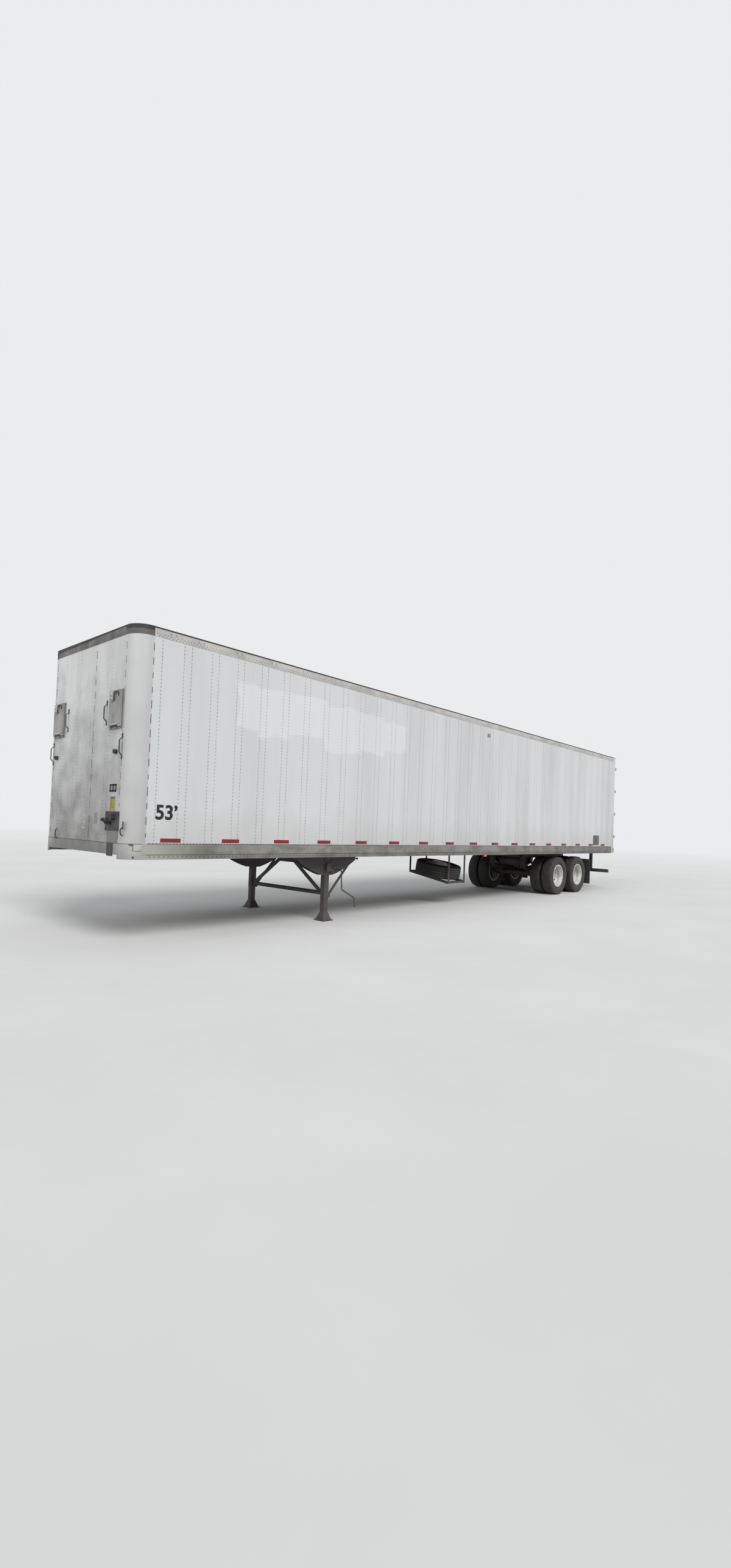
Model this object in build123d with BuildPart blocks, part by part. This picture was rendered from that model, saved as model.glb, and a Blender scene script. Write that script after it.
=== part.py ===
from build123d import *
import os
from math import asin, cos, radians, sin

# A dry van semi trailer on a sliding tandem, parked on its landing legs. Millimetres.
# +X points to the nose, +Y to the roadside, +Z up. The origin is on the ground, under the
# middle of the overall length.

os.makedirs("parts", exist_ok=True)

# Box body
body_length = 16154
body_width = 2591
body_height = 4115
rail_bottom = 1100
deck_height = 1300
wall_thickness = 48
skin_inset = 3
corner_radius = 235
corner_setback = 254
sill_setback = 211

# Rails, floor and roof
rail_web = 8
rail_flange_width = 50
rail_ledge_height = 67
rail_ledge_depth = 4
top_rail_height = 126
top_rail_web = 6
top_rail_flange_width = 60
roof_skin = 4
bow_depth = 25
bow_width = 50
bow_pitch = 610
floor_thickness = 35
crossmember_height = 102
crossmember_width = 57
crossmember_web = 5
crossmember_flange = 6
crossmember_pitch = 305
post_pitch = 437.5
post_groove_width = 32
post_groove_depth = 6
scuff_height = 300

# Clearances
moving_gap = 8
running_gap = 0.3

# Coupler and kingpin
coupler_length = 1430
coupler_width = 1220
coupler_thickness = 10
kingpin_setback = 914
kingpin_flange_radius = 35.7
kingpin_neck_radius = 25.4
kingpin_collar_height = 35
kingpin_neck_height = 29.5
kingpin_flange_height = 19.5

# Rear frame and doors
frame_depth = 150
header_height = 80
door_thickness = 38
door_meeting_gap = 10
hinge_heights = (1620, 2330, 3040, 3750)
hinge_strap_height = 70
hinge_strap_length = 320
hinge_strap_thickness = 10
hinge_pin_radius = 8
hinge_knuckle_radius = 16
hinge_pin_setback = 50
hinge_pin_outset = 10
lug_thickness = 12
lock_rod_radius = 13.5
lock_rod_standoff = 25
lock_handle_height = 1730
# Each rod's distance from the middle, and its handle's length, towards the hinges if positive
lock_rod_stations = ((330, 250), (930, -230))
handle_plate = 9
guide_depth = 17
cam_depth = 14
cam_width = 60
cam_height = 40
keeper_plate = 8
guard_bottom = 480
guard_section = 100
guard_half_length = 1180
guard_post_offset = 620
bumper_block = (60, 130, 150)
tail_lamp_insets = (205.5, 475.5, 605.5)
clearance_lamp_inset = 75.5
clearance_lamp_width = 100

# Nose fittings
vent_inset = 180.5
vent_bottom = 2830
vent_opening_width = 270
vent_opening_height = 400
vent_frame_margin = 55
vent_frame_thickness = 9
vent_leaf_width = 316
vent_leaf_height = 474
vent_leaf_thickness = 22
vent_latch_offset = 52
vent_latch_size = (52, 120, 26)
vent_strap_size = (46, 120, 12)
vent_hook_size = (84, 22, 12)
vent_latch_gap = 4
vent_hinge_height = 2785
vent_bumper_height = 2478
vent_bumper_outset = 40
vent_bumper_radius = 30
vent_bumper_reach = 42
handle_standoff = 45
handle_bar = 7
handle_width = 22
handle_stations = ((460.5, 2842), (-5.5, 2374))
handle_height = 333
plate_overhang = 19.5
plate_width = 375
plate_bottom = 1455
plate_height = 250
coupling_reach = 88
coupling_radius = 24

# Landing gear
landing_setback = 3774
leg_offset = 1000
leg_section = 105
leg_wall = 6
leg_bottom = 380
inner_leg_play = 1
foot_size = 250
foot_plate = 14
foot_height = 150
wing_half_length = 690
wing_end_drop = 130
wing_depth = 385
wing_plate = 8
crank_rest_reach = 70
crank_rest_radius = 7
crank_rest_knob_radius = 18
crank_rest_knob_length = 24
cross_tube_height = 465
cross_tube_radius = 35
brace_width = 70
brace_thickness = 10
crank_radius = 11

# Tandem
tandem_setback = 3189
axle_spacing = 1245
tyre_radius = 507
tyre_width = 295
rim_radius = 286
rim_bead_width = 208
rim_flange_height = 13
twin_spacing = 335
track = 1955
axle_radius = 63.5
spindle_radius = 40
drum_radius = 205
spring_offset = 480
spring_width = 76
spring_half_length = 520
spring_camber = 70
leaf_thickness = 18
spring_seat_height = 40
slide_rail_height = 88
slide_rail_width = 100
slide_rail_thickness = 10
slide_rear_reach = 690
slide_front_reach = 6280
bogie_half_length = 1260
bogie_rail_height = 114
hanger_plate = 10
hanger_reach = 74.1
flap_setback = 1440
flap_width = 590
flap_bottom = 210
flap_thickness = 8
pull_rod_reach = 1225
tank_radius = 115
tank_length = 640

# Spare wheel carrier
spare_setback = 8240
spare_offset = 450
spare_height = 744
spare_tilt = 10
carrier_bar = 50

# Derived stations and levels
half_width = body_width / 2
nose_reach = max(coupling_reach, handle_standoff) - skin_inset
tail_reach = hinge_pin_setback + hinge_knuckle_radius
rear_x = tail_reach - (body_length + nose_reach + tail_reach) / 2
front_x = rear_x + body_length
frame_front_x = rear_x + frame_depth
seam_x = front_x - corner_setback
seam_y = half_width - corner_radius
skin_y = half_width - skin_inset
lining_y = skin_y - wall_thickness
skin_x = front_x - skin_inset
roof_base = body_height - roof_skin
top_rail_bottom = roof_base - top_rail_height
floor_base = deck_height - floor_thickness
beam_base = floor_base - crossmember_height
coupler_height = beam_base - coupler_thickness
landing_x = front_x - landing_setback
kingpin_x = front_x - kingpin_setback
tandem_x = rear_x + tandem_setback
sill_back_x = front_x - sill_setback
twin_y = track / 2
vent_centre = seam_y - vent_inset
plate_inner = seam_y + plate_overhang - plate_width

# Crossmember stations, from the rear frame to the nose; the spare wheel hangs about one of them
beam_end_margin = 0.6 * crossmember_pitch
beam_span = sill_back_x - frame_front_x - beam_end_margin - crossmember_width
beam_count = int(beam_span / crossmember_pitch) + 1
beam_stations = [frame_front_x + beam_end_margin + index * crossmember_pitch for index in range(beam_count)]
spare_beam = round((spare_setback - frame_depth - beam_end_margin) / crossmember_pitch)
spare_x = beam_stations[spare_beam]


def block(x_span, y_span, z_span, mode=Mode.ADD):
    """A rectangular bar between two values on each axis, in the part being built."""
    spans = (x_span, y_span, z_span)
    middle = [(low + high) / 2 for low, high in spans]
    sizes = [abs(high - low) for low, high in spans]
    with Locations(tuple(middle)):
        Box(*sizes, mode=mode)


def section_along_x(points, start, end, mode=Mode.ADD):
    """Extrudes a closed outline of (y, z) points from one x to another."""
    with BuildSketch(Plane.YZ.offset(start)) as section:
        with BuildLine():
            Polyline(*points, close=True)
        make_face()
    extrude(section.sketch, amount=end - start, mode=mode)


def plate_along_y(points, near, far, mode=Mode.ADD):
    """Extrudes a closed outline of (x, z) points from one y to another."""
    with BuildSketch(Plane.XZ.offset(-near)) as outline:
        with BuildLine():
            Polyline(*points, close=True)
        make_face()
    extrude(outline.sketch, amount=near - far, mode=mode)


def rod(start, end, radius):
    """A round bar between two points."""
    axis = Vector(*end) - Vector(*start)
    with BuildSketch(Plane(origin=start, z_dir=axis)) as section:
        Circle(radius)
    extrude(section.sketch, amount=axis.length)


def flat_bar(start, end, width, thickness, across):
    """A flat bar between two points; across is the direction of its width."""
    axis = Vector(*end) - Vector(*start)
    with BuildSketch(Plane(origin=start, x_dir=across, z_dir=axis)) as section:
        Rectangle(width, thickness)
    extrude(section.sketch, amount=axis.length)


def nose_outline(inset, back_x, mode=Mode.ADD):
    """Plan of the body with its two rounded nose corners, inset all round, from back_x on."""
    x = front_x - inset
    y = half_width - inset
    r = corner_radius - inset
    with BuildLine() as outline:
        Line((back_x, -y), (x - r, -y))
        CenterArc((x - r, r - y), r, -90, 90)
        Line((x, r - y), (x, y - r))
        CenterArc((x - r, y - r), r, 0, 90)
        Line((x - r, y), (back_x, y))
        Line((back_x, y), (back_x, -y))
    make_face(outline.edges(), mode=mode)


def nose_band(bottom, top, inset, thickness, back_x, mode=Mode.ADD):
    """An upright strip that follows the plan of the nose."""
    with BuildSketch(Plane.XY.offset(bottom)) as plan:
        nose_outline(inset, back_x)
        nose_outline(inset + thickness, back_x - 1, mode=Mode.SUBTRACT)
    extrude(plan.sketch, amount=top - bottom, mode=mode)


def save(part, name):
    """Labels a finished piece and writes it under its node's name."""
    part.label = name
    export_step(part, f"parts/{name}.step")


# Side walls: sheet, posts and lining as one panel, with the post slots open to the load space
wall_length = seam_x - frame_front_x
groove_count = int((wall_length - post_groove_width) / post_pitch)
groove_bottom = deck_height + scuff_height
for side, sign in (("left", 1), ("right", -1)):
    with BuildPart() as side_wall:
        block((frame_front_x, seam_x), (sign * lining_y, sign * skin_y), (deck_height, top_rail_bottom))
        for index in range(groove_count):
            groove_x = seam_x - (index + 0.5) * post_pitch
            block(
                (groove_x - post_groove_width / 2, groove_x + post_groove_width / 2),
                (sign * lining_y, sign * (lining_y + post_groove_depth)),
                (groove_bottom, top_rail_bottom),
                mode=Mode.SUBTRACT,
            )
    save(side_wall.part, f"side_wall_{side}")

# Front wall with the two ventilator openings
with BuildPart() as front_wall:
    block((skin_x - wall_thickness, skin_x), (-seam_y, seam_y), (deck_height, top_rail_bottom))
    for sign in (1, -1):
        vent_y = sign * vent_centre
        block(
            (skin_x - wall_thickness, skin_x),
            (vent_y - vent_opening_width / 2, vent_y + vent_opening_width / 2),
            (vent_bottom, vent_bottom + vent_opening_height),
            mode=Mode.SUBTRACT,
        )
save(front_wall.part, "front_wall")

# Rounded nose corners
with BuildPart() as front_corners:
    nose_band(deck_height, top_rail_bottom, skin_inset, wall_thickness, seam_x)
    block(
        (seam_x - 1, front_x + 1),
        (-seam_y, seam_y),
        (deck_height, top_rail_bottom),
        mode=Mode.SUBTRACT,
    )
save(front_corners.part, "front_corners")

# Nose sill: wraps the lower corners and stops at the coupler's level between them
with BuildPart() as nose_sill:
    nose_band(rail_bottom, deck_height, 0, rail_web, seam_x)
    block(
        (seam_x - 1, sill_back_x),
        (-half_width - 1, half_width + 1),
        (rail_bottom, deck_height),
        mode=Mode.SUBTRACT,
    )
    block(
        (front_x - rail_web - 1, front_x + 1),
        (-seam_y, seam_y),
        (rail_bottom, coupler_height),
        mode=Mode.SUBTRACT,
    )
save(nose_sill.part, "nose_sill")

# Bottom rails: a web with a ledge outside and a flange under the crossmember ends
web_y = half_width - rail_web
ledge_z = rail_bottom + rail_ledge_height
with BuildPart() as bottom_rails:
    outline = (
        (half_width, deck_height),
        (half_width, ledge_z),
        (half_width - rail_ledge_depth, ledge_z - rail_ledge_depth),
        (half_width - rail_ledge_depth, rail_bottom),
        (half_width - rail_flange_width, rail_bottom),
        (half_width - rail_flange_width, rail_bottom + rail_web),
        (web_y, rail_bottom + rail_web),
        (web_y, deck_height),
    )
    for sign in (1, -1):
        section_along_x([(sign * y, z) for y, z in outline], frame_front_x, sill_back_x)
save(bottom_rails.part, "bottom_rails")

# Top rails: channels open inwards, standing on the walls and carrying the roof
with BuildPart() as top_rails:
    outline = (
        (half_width, roof_base),
        (half_width, top_rail_bottom),
        (lining_y, top_rail_bottom),
        (lining_y, top_rail_bottom + top_rail_web),
        (half_width - top_rail_web, top_rail_bottom + top_rail_web),
        (half_width - top_rail_web, roof_base - top_rail_web),
        (half_width - top_rail_flange_width, roof_base - top_rail_web),
        (half_width - top_rail_flange_width, roof_base),
    )
    for sign in (1, -1):
        section_along_x([(sign * y, z) for y, z in outline], frame_front_x, seam_x)
save(top_rails.part, "top_rails")

# Nose header with its corner caps
with BuildPart() as nose_header:
    nose_band(top_rail_bottom, roof_base, 0, top_rail_web, seam_x)
    nose_band(top_rail_bottom, top_rail_bottom + top_rail_web, 0, skin_inset + wall_thickness, seam_x)
    nose_band(roof_base - top_rail_web, roof_base, 0, top_rail_flange_width, seam_x)
save(nose_header.part, "nose_header")

# Roof sheet on its bows
bow_span_y = half_width - top_rail_flange_width
bow_count = int((seam_x - frame_front_x) / bow_pitch)
with BuildPart() as roof_panel:
    with BuildSketch(Plane.XY.offset(roof_base)):
        nose_outline(skin_inset, frame_front_x)
    extrude(amount=roof_skin)
    for index in range(bow_count):
        bow_x = frame_front_x + (index + 0.5) * bow_pitch
        block(
            (bow_x - bow_width / 2, bow_x + bow_width / 2),
            (-bow_span_y, bow_span_y),
            (roof_base - bow_depth, roof_base),
        )
save(roof_panel.part, "roof_panel")

# Load floor
with BuildPart() as floor_deck:
    with BuildSketch(Plane.XY.offset(floor_base)):
        nose_outline(rail_web, frame_front_x)
    extrude(amount=floor_thickness)
save(floor_deck.part, "floor_deck")

# Crossmembers: I-beams from rail web to rail web
with BuildPart() as crossmembers:
    for beam_x in beam_stations:
        with BuildSketch(Plane.XZ.offset(-web_y)):
            with Locations((beam_x, beam_base + crossmember_flange / 2)):
                Rectangle(crossmember_width, crossmember_flange)
            with Locations((beam_x, beam_base + crossmember_height / 2)):
                Rectangle(crossmember_web, crossmember_height)
            with Locations((beam_x, floor_base - crossmember_flange / 2)):
                Rectangle(crossmember_width, crossmember_flange)
        extrude(amount=2 * web_y)
save(crossmembers.part, "crossmembers")

# Coupler plate and kingpin; the head of the pin sits in its hole in the plate
with BuildPart() as coupler_plate:
    with BuildSketch(Plane.XY.offset(coupler_height)):
        with Locations((front_x - rail_web - coupler_length / 2, 0)):
            Rectangle(coupler_length, coupler_width)
        with Locations((kingpin_x, 0)):
            Circle(kingpin_flange_radius + running_gap, mode=Mode.SUBTRACT)
    extrude(amount=coupler_thickness)
save(coupler_plate.part, "coupler_plate")

collar_z = coupler_height - kingpin_collar_height
neck_z = collar_z - kingpin_neck_height
with BuildPart() as kingpin:
    with BuildSketch(Plane(origin=(kingpin_x, 0, 0), x_dir=(1, 0, 0), z_dir=(0, -1, 0))):
        with BuildLine():
            Polyline(
                (0, beam_base),
                (kingpin_flange_radius, beam_base),
                (kingpin_flange_radius, collar_z),
                (kingpin_neck_radius, collar_z),
                (kingpin_neck_radius, neck_z),
                (kingpin_flange_radius, neck_z),
                (kingpin_flange_radius, neck_z - kingpin_flange_height),
                (0, neck_z - kingpin_flange_height),
                close=True,
            )
        make_face()
    revolve(axis=Axis((kingpin_x, 0, 0), (0, 0, 1)))
save(kingpin.part, "kingpin")

# Rear frame: posts, header and sill in one, with a pair of hinge lugs above and below each strap
pin_x = rear_x - hinge_pin_setback
pin_y = half_width + hinge_pin_outset
cam_levels = (rail_bottom + 110, body_height - 75)
with BuildPart() as rear_frame:
    with BuildSketch(Plane.YZ.offset(rear_x)):
        with Locations((0, (rail_bottom + body_height) / 2)):
            Rectangle(body_width, body_height - rail_bottom)
        with Locations((0, (deck_height + body_height - header_height) / 2)):
            Rectangle(2 * lining_y, body_height - header_height - deck_height, mode=Mode.SUBTRACT)
    extrude(amount=frame_depth)
    block(
        (rear_x + 12, frame_front_x),
        (-lining_y, lining_y),
        (rail_bottom + 12, floor_base),
        mode=Mode.SUBTRACT,
    )
    for sign in (1, -1):
        for height in hinge_heights:
            for level in (height + hinge_strap_height / 2 + running_gap,
                          height - hinge_strap_height / 2 - running_gap - lug_thickness):
                with BuildSketch(Plane.XY.offset(level)):
                    with BuildLine():
                        Polyline(
                            (rear_x, sign * half_width),
                            (rear_x, sign * (half_width - 40)),
                            (pin_x - 6, sign * (pin_y - hinge_knuckle_radius + 1)),
                            (pin_x + 6, sign * (pin_y + hinge_knuckle_radius - 1)),
                            close=True,
                        )
                    make_face()
                    with Locations((pin_x, sign * pin_y)):
                        Circle(hinge_knuckle_radius)
                extrude(amount=lug_thickness)
            with BuildSketch(Plane.XY.offset(height - hinge_strap_height / 2 - running_gap)):
                with Locations((pin_x, sign * pin_y)):
                    Circle(hinge_pin_radius)
            extrude(amount=hinge_strap_height + 2 * running_gap)
        for station, reach in lock_rod_stations:
            for low in cam_levels:
                for face, edge in ((-1, station - cam_width / 4), (1, station + cam_width * 3 / 4)):
                    near = sign * (edge + face * moving_gap)
                    far = sign * (edge + face * (moving_gap + keeper_plate))
                    block((rear_x - lock_rod_standoff - 8, rear_x), (near, far), (low - 5, low + cam_height + 5))
save(rear_frame.part, "rear_frame")

# Rear doors: flush panels between the posts
door_top = body_height - header_height - moving_gap
door_bottom = deck_height + moving_gap
door_edge_y = lining_y - moving_gap
for side, sign in (("left", 1), ("right", -1)):
    with BuildPart() as rear_door:
        block(
            (rear_x, rear_x + door_thickness),
            (sign * door_meeting_gap / 2, sign * door_edge_y),
            (door_bottom, door_top),
        )
    save(rear_door.part, f"rear_door_{side}")

    # Hinge straps: a knuckle round the pin, a cranked neck and a flat leaf on the door.
    # Lock rods: a pipe in three guides with a cam at each end and a flat handle.
    leaf_x = rear_x - hinge_strap_thickness
    rod_x = rear_x - lock_rod_standoff
    with BuildPart() as door_hardware:
        for height in hinge_heights:
            with BuildSketch(Plane.XY.offset(height - hinge_strap_height / 2)):
                with BuildLine():
                    Polyline(
                        (pin_x - 10, sign * (pin_y - 10)),
                        (pin_x + 9, sign * (pin_y - 10)),
                        (leaf_x + 1, sign * (door_edge_y - 2)),
                        (rear_x, sign * (door_edge_y - 6)),
                        (rear_x, sign * (door_edge_y - hinge_strap_length)),
                        (leaf_x, sign * (door_edge_y - hinge_strap_length)),
                        (leaf_x, sign * (door_edge_y - 14)),
                        close=True,
                    )
                make_face()
                with Locations((pin_x, sign * pin_y)):
                    Circle(hinge_knuckle_radius)
                    Circle(hinge_pin_radius + running_gap, mode=Mode.SUBTRACT)
            extrude(amount=hinge_strap_height)
        for station, reach in lock_rod_stations:
            rod_y = sign * station
            rod((rod_x, rod_y, rail_bottom + 90), (rod_x, rod_y, body_height - 30), lock_rod_radius)
            for level in (deck_height + 110, (deck_height + body_height) / 2, door_top - 110):
                block((rod_x - guide_depth, rear_x), (rod_y - 30, rod_y + 30), (level - 25, level + 25))
            for low in cam_levels:
                block(
                    (rod_x - cam_depth, rod_x + cam_depth),
                    (rod_y - sign * cam_width / 4, rod_y + sign * cam_width * 3 / 4),
                    (low, low + cam_height),
                )
            block(
                (rod_x - guide_depth - handle_plate, rod_x - guide_depth),
                (rod_y - sign * 18 * (1 if reach > 0 else -1), rod_y + sign * reach),
                (lock_handle_height - 19, lock_handle_height + 19),
            )
            block(
                (rod_x - guide_depth, rod_x),
                (rod_y - 18, rod_y + 18),
                (lock_handle_height - 30, lock_handle_height + 30),
            )
    save(door_hardware.part, f"door_hardware_{side}")

# Rear impact guard: a box beam on two posts under the rear frame
guard_top = guard_bottom + guard_section
with BuildPart() as impact_guard:
    block((rear_x + 10, rear_x + 10 + guard_section), (-guard_half_length, guard_half_length),
          (guard_bottom, guard_top))
    for sign in (1, -1):
        block(
            (rear_x + 15, rear_x + 95),
            (sign * (guard_post_offset - 40), sign * (guard_post_offset + 40)),
            (guard_top, rail_bottom),
        )
        plate_along_y(
            ((rear_x + 95, rail_bottom), (rear_x + 95, guard_top + 120), (frame_front_x, rail_bottom)),
            sign * guard_post_offset - 5,
            sign * guard_post_offset + 5,
        )
save(impact_guard.part, "impact_guard")

# Rubber bumpers: dock blocks on the rear sill and round stops for the open ventilators
with BuildPart() as rubber_bumpers:
    for sign in (1, -1):
        block(
            (rear_x - bumper_block[0], rear_x),
            (sign * (half_width - bumper_block[1] - 5), sign * (half_width - 5)),
            (rail_bottom + 20, rail_bottom + 20 + bumper_block[2]),
        )
        rod(
            (skin_x, sign * (vent_centre + vent_bumper_outset), vent_bumper_height),
            (skin_x + vent_bumper_reach, sign * (vent_centre + vent_bumper_outset), vent_bumper_height),
            vent_bumper_radius,
        )
save(rubber_bumpers.part, "rubber_bumpers")

# Lamps: tail and clearance lamps behind, markers at the middle of each side
with BuildPart() as lamps:
    for sign in (1, -1):
        for inset in tail_lamp_insets:
            offset = half_width - inset
            rod((rear_x, sign * offset, rail_bottom + 70), (rear_x - 14, sign * offset, rail_bottom + 70), 50)
        clearance_outer = half_width - clearance_lamp_inset
        block(
            (rear_x - 18, rear_x),
            (sign * (clearance_outer - clearance_lamp_width), sign * clearance_outer),
            (body_height - 60, body_height - 25),
        )
        block(
            (rear_x + 7590, rear_x + 7690),
            (sign * half_width, sign * (half_width - 40)),
            (rail_bottom - 40, rail_bottom),
        )
    for offset in (-160, 0, 160):
        block((rear_x - 18, rear_x), (offset - 35, offset + 35), (body_height - 60, body_height - 25))
save(lamps.part, "lamps")

# Ventilators: a frame on the nose, a leaf hinged at its foot and a latch at its head
frame_face_x = skin_x + vent_frame_thickness
vent_leaf_back_x = frame_face_x + 5
vent_hinge_x = vent_leaf_back_x + vent_leaf_thickness / 2
with BuildPart() as vent_frames:
    for sign in (1, -1):
        with BuildSketch(Plane.YZ.offset(skin_x)):
            with Locations((sign * vent_centre, vent_bottom + vent_opening_height / 2)):
                Rectangle(
                    vent_opening_width + 2 * vent_frame_margin,
                    vent_opening_height + 2 * vent_frame_margin,
                )
                Rectangle(vent_opening_width, vent_opening_height, mode=Mode.SUBTRACT)
        extrude(amount=vent_frame_thickness)
        for end in (1, -1):
            ear_y = sign * vent_centre + end * (vent_leaf_width / 2 - 30)
            block(
                (frame_face_x, vent_hinge_x),
                (ear_y - 12, ear_y + 12),
                (vent_hinge_height - 7, vent_hinge_height + 5),
            )
        rod(
            (vent_hinge_x, sign * vent_centre - vent_leaf_width / 2 + 10, vent_hinge_height),
            (vent_hinge_x, sign * vent_centre + vent_leaf_width / 2 - 10, vent_hinge_height),
            5,
        )
save(vent_frames.part, "vent_frames")

for side, sign in (("left", 1), ("right", -1)):
    with BuildPart() as vent_door:
        block(
            (vent_leaf_back_x, vent_leaf_back_x + vent_leaf_thickness),
            (sign * vent_centre - vent_leaf_width / 2, sign * vent_centre + vent_leaf_width / 2),
            (vent_hinge_height + 14, vent_hinge_height + 14 + vent_leaf_height),
        )
        # The latch at the head of the leaf: bolt housing, flat strap beside it, and the strap's hook bar
        latch_face_x = vent_leaf_back_x + vent_leaf_thickness
        latch_top = vent_hinge_height + vent_leaf_height
        housing_y = sign * vent_centre - vent_latch_offset
        strap_low_y = housing_y + vent_latch_size[0] / 2 + vent_latch_gap
        strap_high_y = strap_low_y + vent_strap_size[0]
        for low_y, (width, height, depth) in (
            (housing_y - vent_latch_size[0] / 2, vent_latch_size),
            (strap_low_y, vent_strap_size),
            (strap_high_y, vent_hook_size),
        ):
            block(
                (latch_face_x, latch_face_x + depth),
                (low_y, low_y + width),
                (latch_top - height, latch_top),
            )
        with BuildSketch(Plane.XZ.offset(-(sign * vent_centre - 50))):
            with Locations((vent_hinge_x, vent_hinge_height)):
                Circle(9)
            with Locations((vent_hinge_x, vent_hinge_height + 10)):
                Rectangle(8, 16)
            with Locations((vent_hinge_x, vent_hinge_height)):
                Circle(5 + running_gap, mode=Mode.SUBTRACT)
        extrude(amount=-100)
    save(vent_door.part, f"vent_door_{side}")

# Grab handles: bent flat bars with their feet on the nose
handle_x = skin_x + handle_standoff
with BuildPart() as grab_handles:
    for sign in (1, -1):
        for inset, low in handle_stations:
            station = seam_y - inset
            high = low + handle_height
            outline = (
                (skin_x, low),
                (skin_x, low + 50),
                (handle_x - handle_bar, low + 90),
                (handle_x - handle_bar, high - 90),
                (skin_x, high - 50),
                (skin_x, high),
                (skin_x + handle_bar, high),
                (skin_x + handle_bar, high - 47),
                (handle_x, high - 87),
                (handle_x, low + 87),
                (skin_x + handle_bar, low + 47),
                (skin_x + handle_bar, low),
            )
            plate_along_y(outline, sign * station - handle_width / 2, sign * station + handle_width / 2)
save(grab_handles.part, "grab_handles")

# Connection plate with the socket and the two air couplings, all bare
plate_x = skin_x + 4
socket_y = plate_inner + 245
socket_z = plate_bottom + 175
with BuildPart() as connection_plate:
    block((skin_x, plate_x), (plate_inner, plate_inner + plate_width), (plate_bottom, plate_bottom + plate_height))
    rod((plate_x, socket_y, socket_z), (skin_x + 60, socket_y, socket_z), 36)
    block((plate_x, skin_x + 70), (socket_y - 38, socket_y + 38), (socket_z + 20, socket_z + 38))
    coupling_z = plate_bottom + 100
    coupling_x = skin_x + coupling_reach - coupling_radius
    for coupling_y in (plate_inner + 60, plate_inner + 150):
        block((plate_x, plate_x + 30), (coupling_y - 18, coupling_y + 18), (coupling_z - 18, coupling_z + 18))
        rod((plate_x + 25, coupling_y, coupling_z), (coupling_x, coupling_y, coupling_z + 40), 14)
        rod(
            (coupling_x, coupling_y - 20, coupling_z + 40),
            (coupling_x, coupling_y + 20, coupling_z + 40),
            coupling_radius,
        )
save(connection_plate.part, "connection_plate")

# Landing gear. Each leg is a square tube with an inner leg and a foot
leg_top = beam_base
inner_leg_section = leg_section - 2 * leg_wall - inner_leg_play
with BuildPart() as landing_legs:
    for sign in (1, -1):
        with BuildSketch(Plane.XY.offset(leg_bottom)):
            with Locations((landing_x, sign * leg_offset)):
                RectangleRounded(leg_section, leg_section, 10)
                Rectangle(leg_section - 2 * leg_wall, leg_section - 2 * leg_wall, mode=Mode.SUBTRACT)
        extrude(amount=leg_top - leg_bottom)
    for sign in (1, -1):
        spot = (landing_x, sign * leg_offset)
        with BuildSketch():
            with Locations(spot):
                RectangleRounded(foot_size, foot_size, 25)
        extrude(amount=foot_plate)
        with BuildSketch(Plane.XY.offset(foot_plate)):
            with Locations(spot):
                Rectangle(foot_size - 50, foot_size - 50)
        with BuildSketch(Plane.XY.offset(foot_height)):
            with Locations(spot):
                Rectangle(inner_leg_section, inner_leg_section)
        loft()
        with BuildSketch(Plane.XY.offset(foot_height)):
            with Locations(spot):
                Rectangle(inner_leg_section, inner_leg_section)
        extrude(amount=leg_bottom + 300 - foot_height)
save(landing_legs.part, "landing_legs")

# Wing plates either side of each leg, hung from the crossmembers
with BuildPart() as landing_wings:
    for sign in (1, -1):
        for face in (1, -1):
            inner_y = sign * leg_offset + face * leg_section / 2
            with BuildSketch(Plane.XZ.offset(-inner_y)):
                with BuildLine():
                    Line((landing_x - wing_half_length, beam_base), (landing_x + wing_half_length, beam_base))
                    Line(
                        (landing_x + wing_half_length, beam_base),
                        (landing_x + wing_half_length, beam_base - wing_end_drop),
                    )
                    ThreePointArc(
                        (landing_x + wing_half_length, beam_base - wing_end_drop),
                        (landing_x + 390, beam_base - 290),
                        (landing_x + 120, beam_base - wing_depth),
                    )
                    Line(
                        (landing_x + 120, beam_base - wing_depth),
                        (landing_x - 120, beam_base - wing_depth),
                    )
                    ThreePointArc(
                        (landing_x - 120, beam_base - wing_depth),
                        (landing_x - 390, beam_base - 290),
                        (landing_x - wing_half_length, beam_base - wing_end_drop),
                    )
                    Line(
                        (landing_x - wing_half_length, beam_base - wing_end_drop),
                        (landing_x - wing_half_length, beam_base),
                    )
                make_face()
            extrude(amount=-face * wing_plate)
        for end in (1, -1):
            block(
                (landing_x + end * wing_half_length, landing_x + end * (wing_half_length - wing_plate)),
                (sign * leg_offset - leg_section / 2, sign * leg_offset + leg_section / 2),
                (beam_base - wing_end_drop, beam_base),
            )
    # The rest that holds the folded crank, behind the roadside wing
    rest_start_x = landing_x - wing_half_length + wing_plate / 2
    rest_end_x = landing_x - wing_half_length - crank_rest_reach
    rest_y = leg_offset + leg_section / 2 - crank_rest_knob_radius
    rest_z = beam_base - wing_end_drop + crank_rest_knob_radius
    rod((rest_start_x, rest_y, rest_z), (rest_end_x, rest_y, rest_z), crank_rest_radius)
    rod(
        (rest_end_x, rest_y - crank_rest_knob_length / 2, rest_z),
        (rest_end_x, rest_y + crank_rest_knob_length / 2, rest_z),
        crank_rest_knob_radius,
    )
save(landing_wings.part, "landing_wings")

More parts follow.
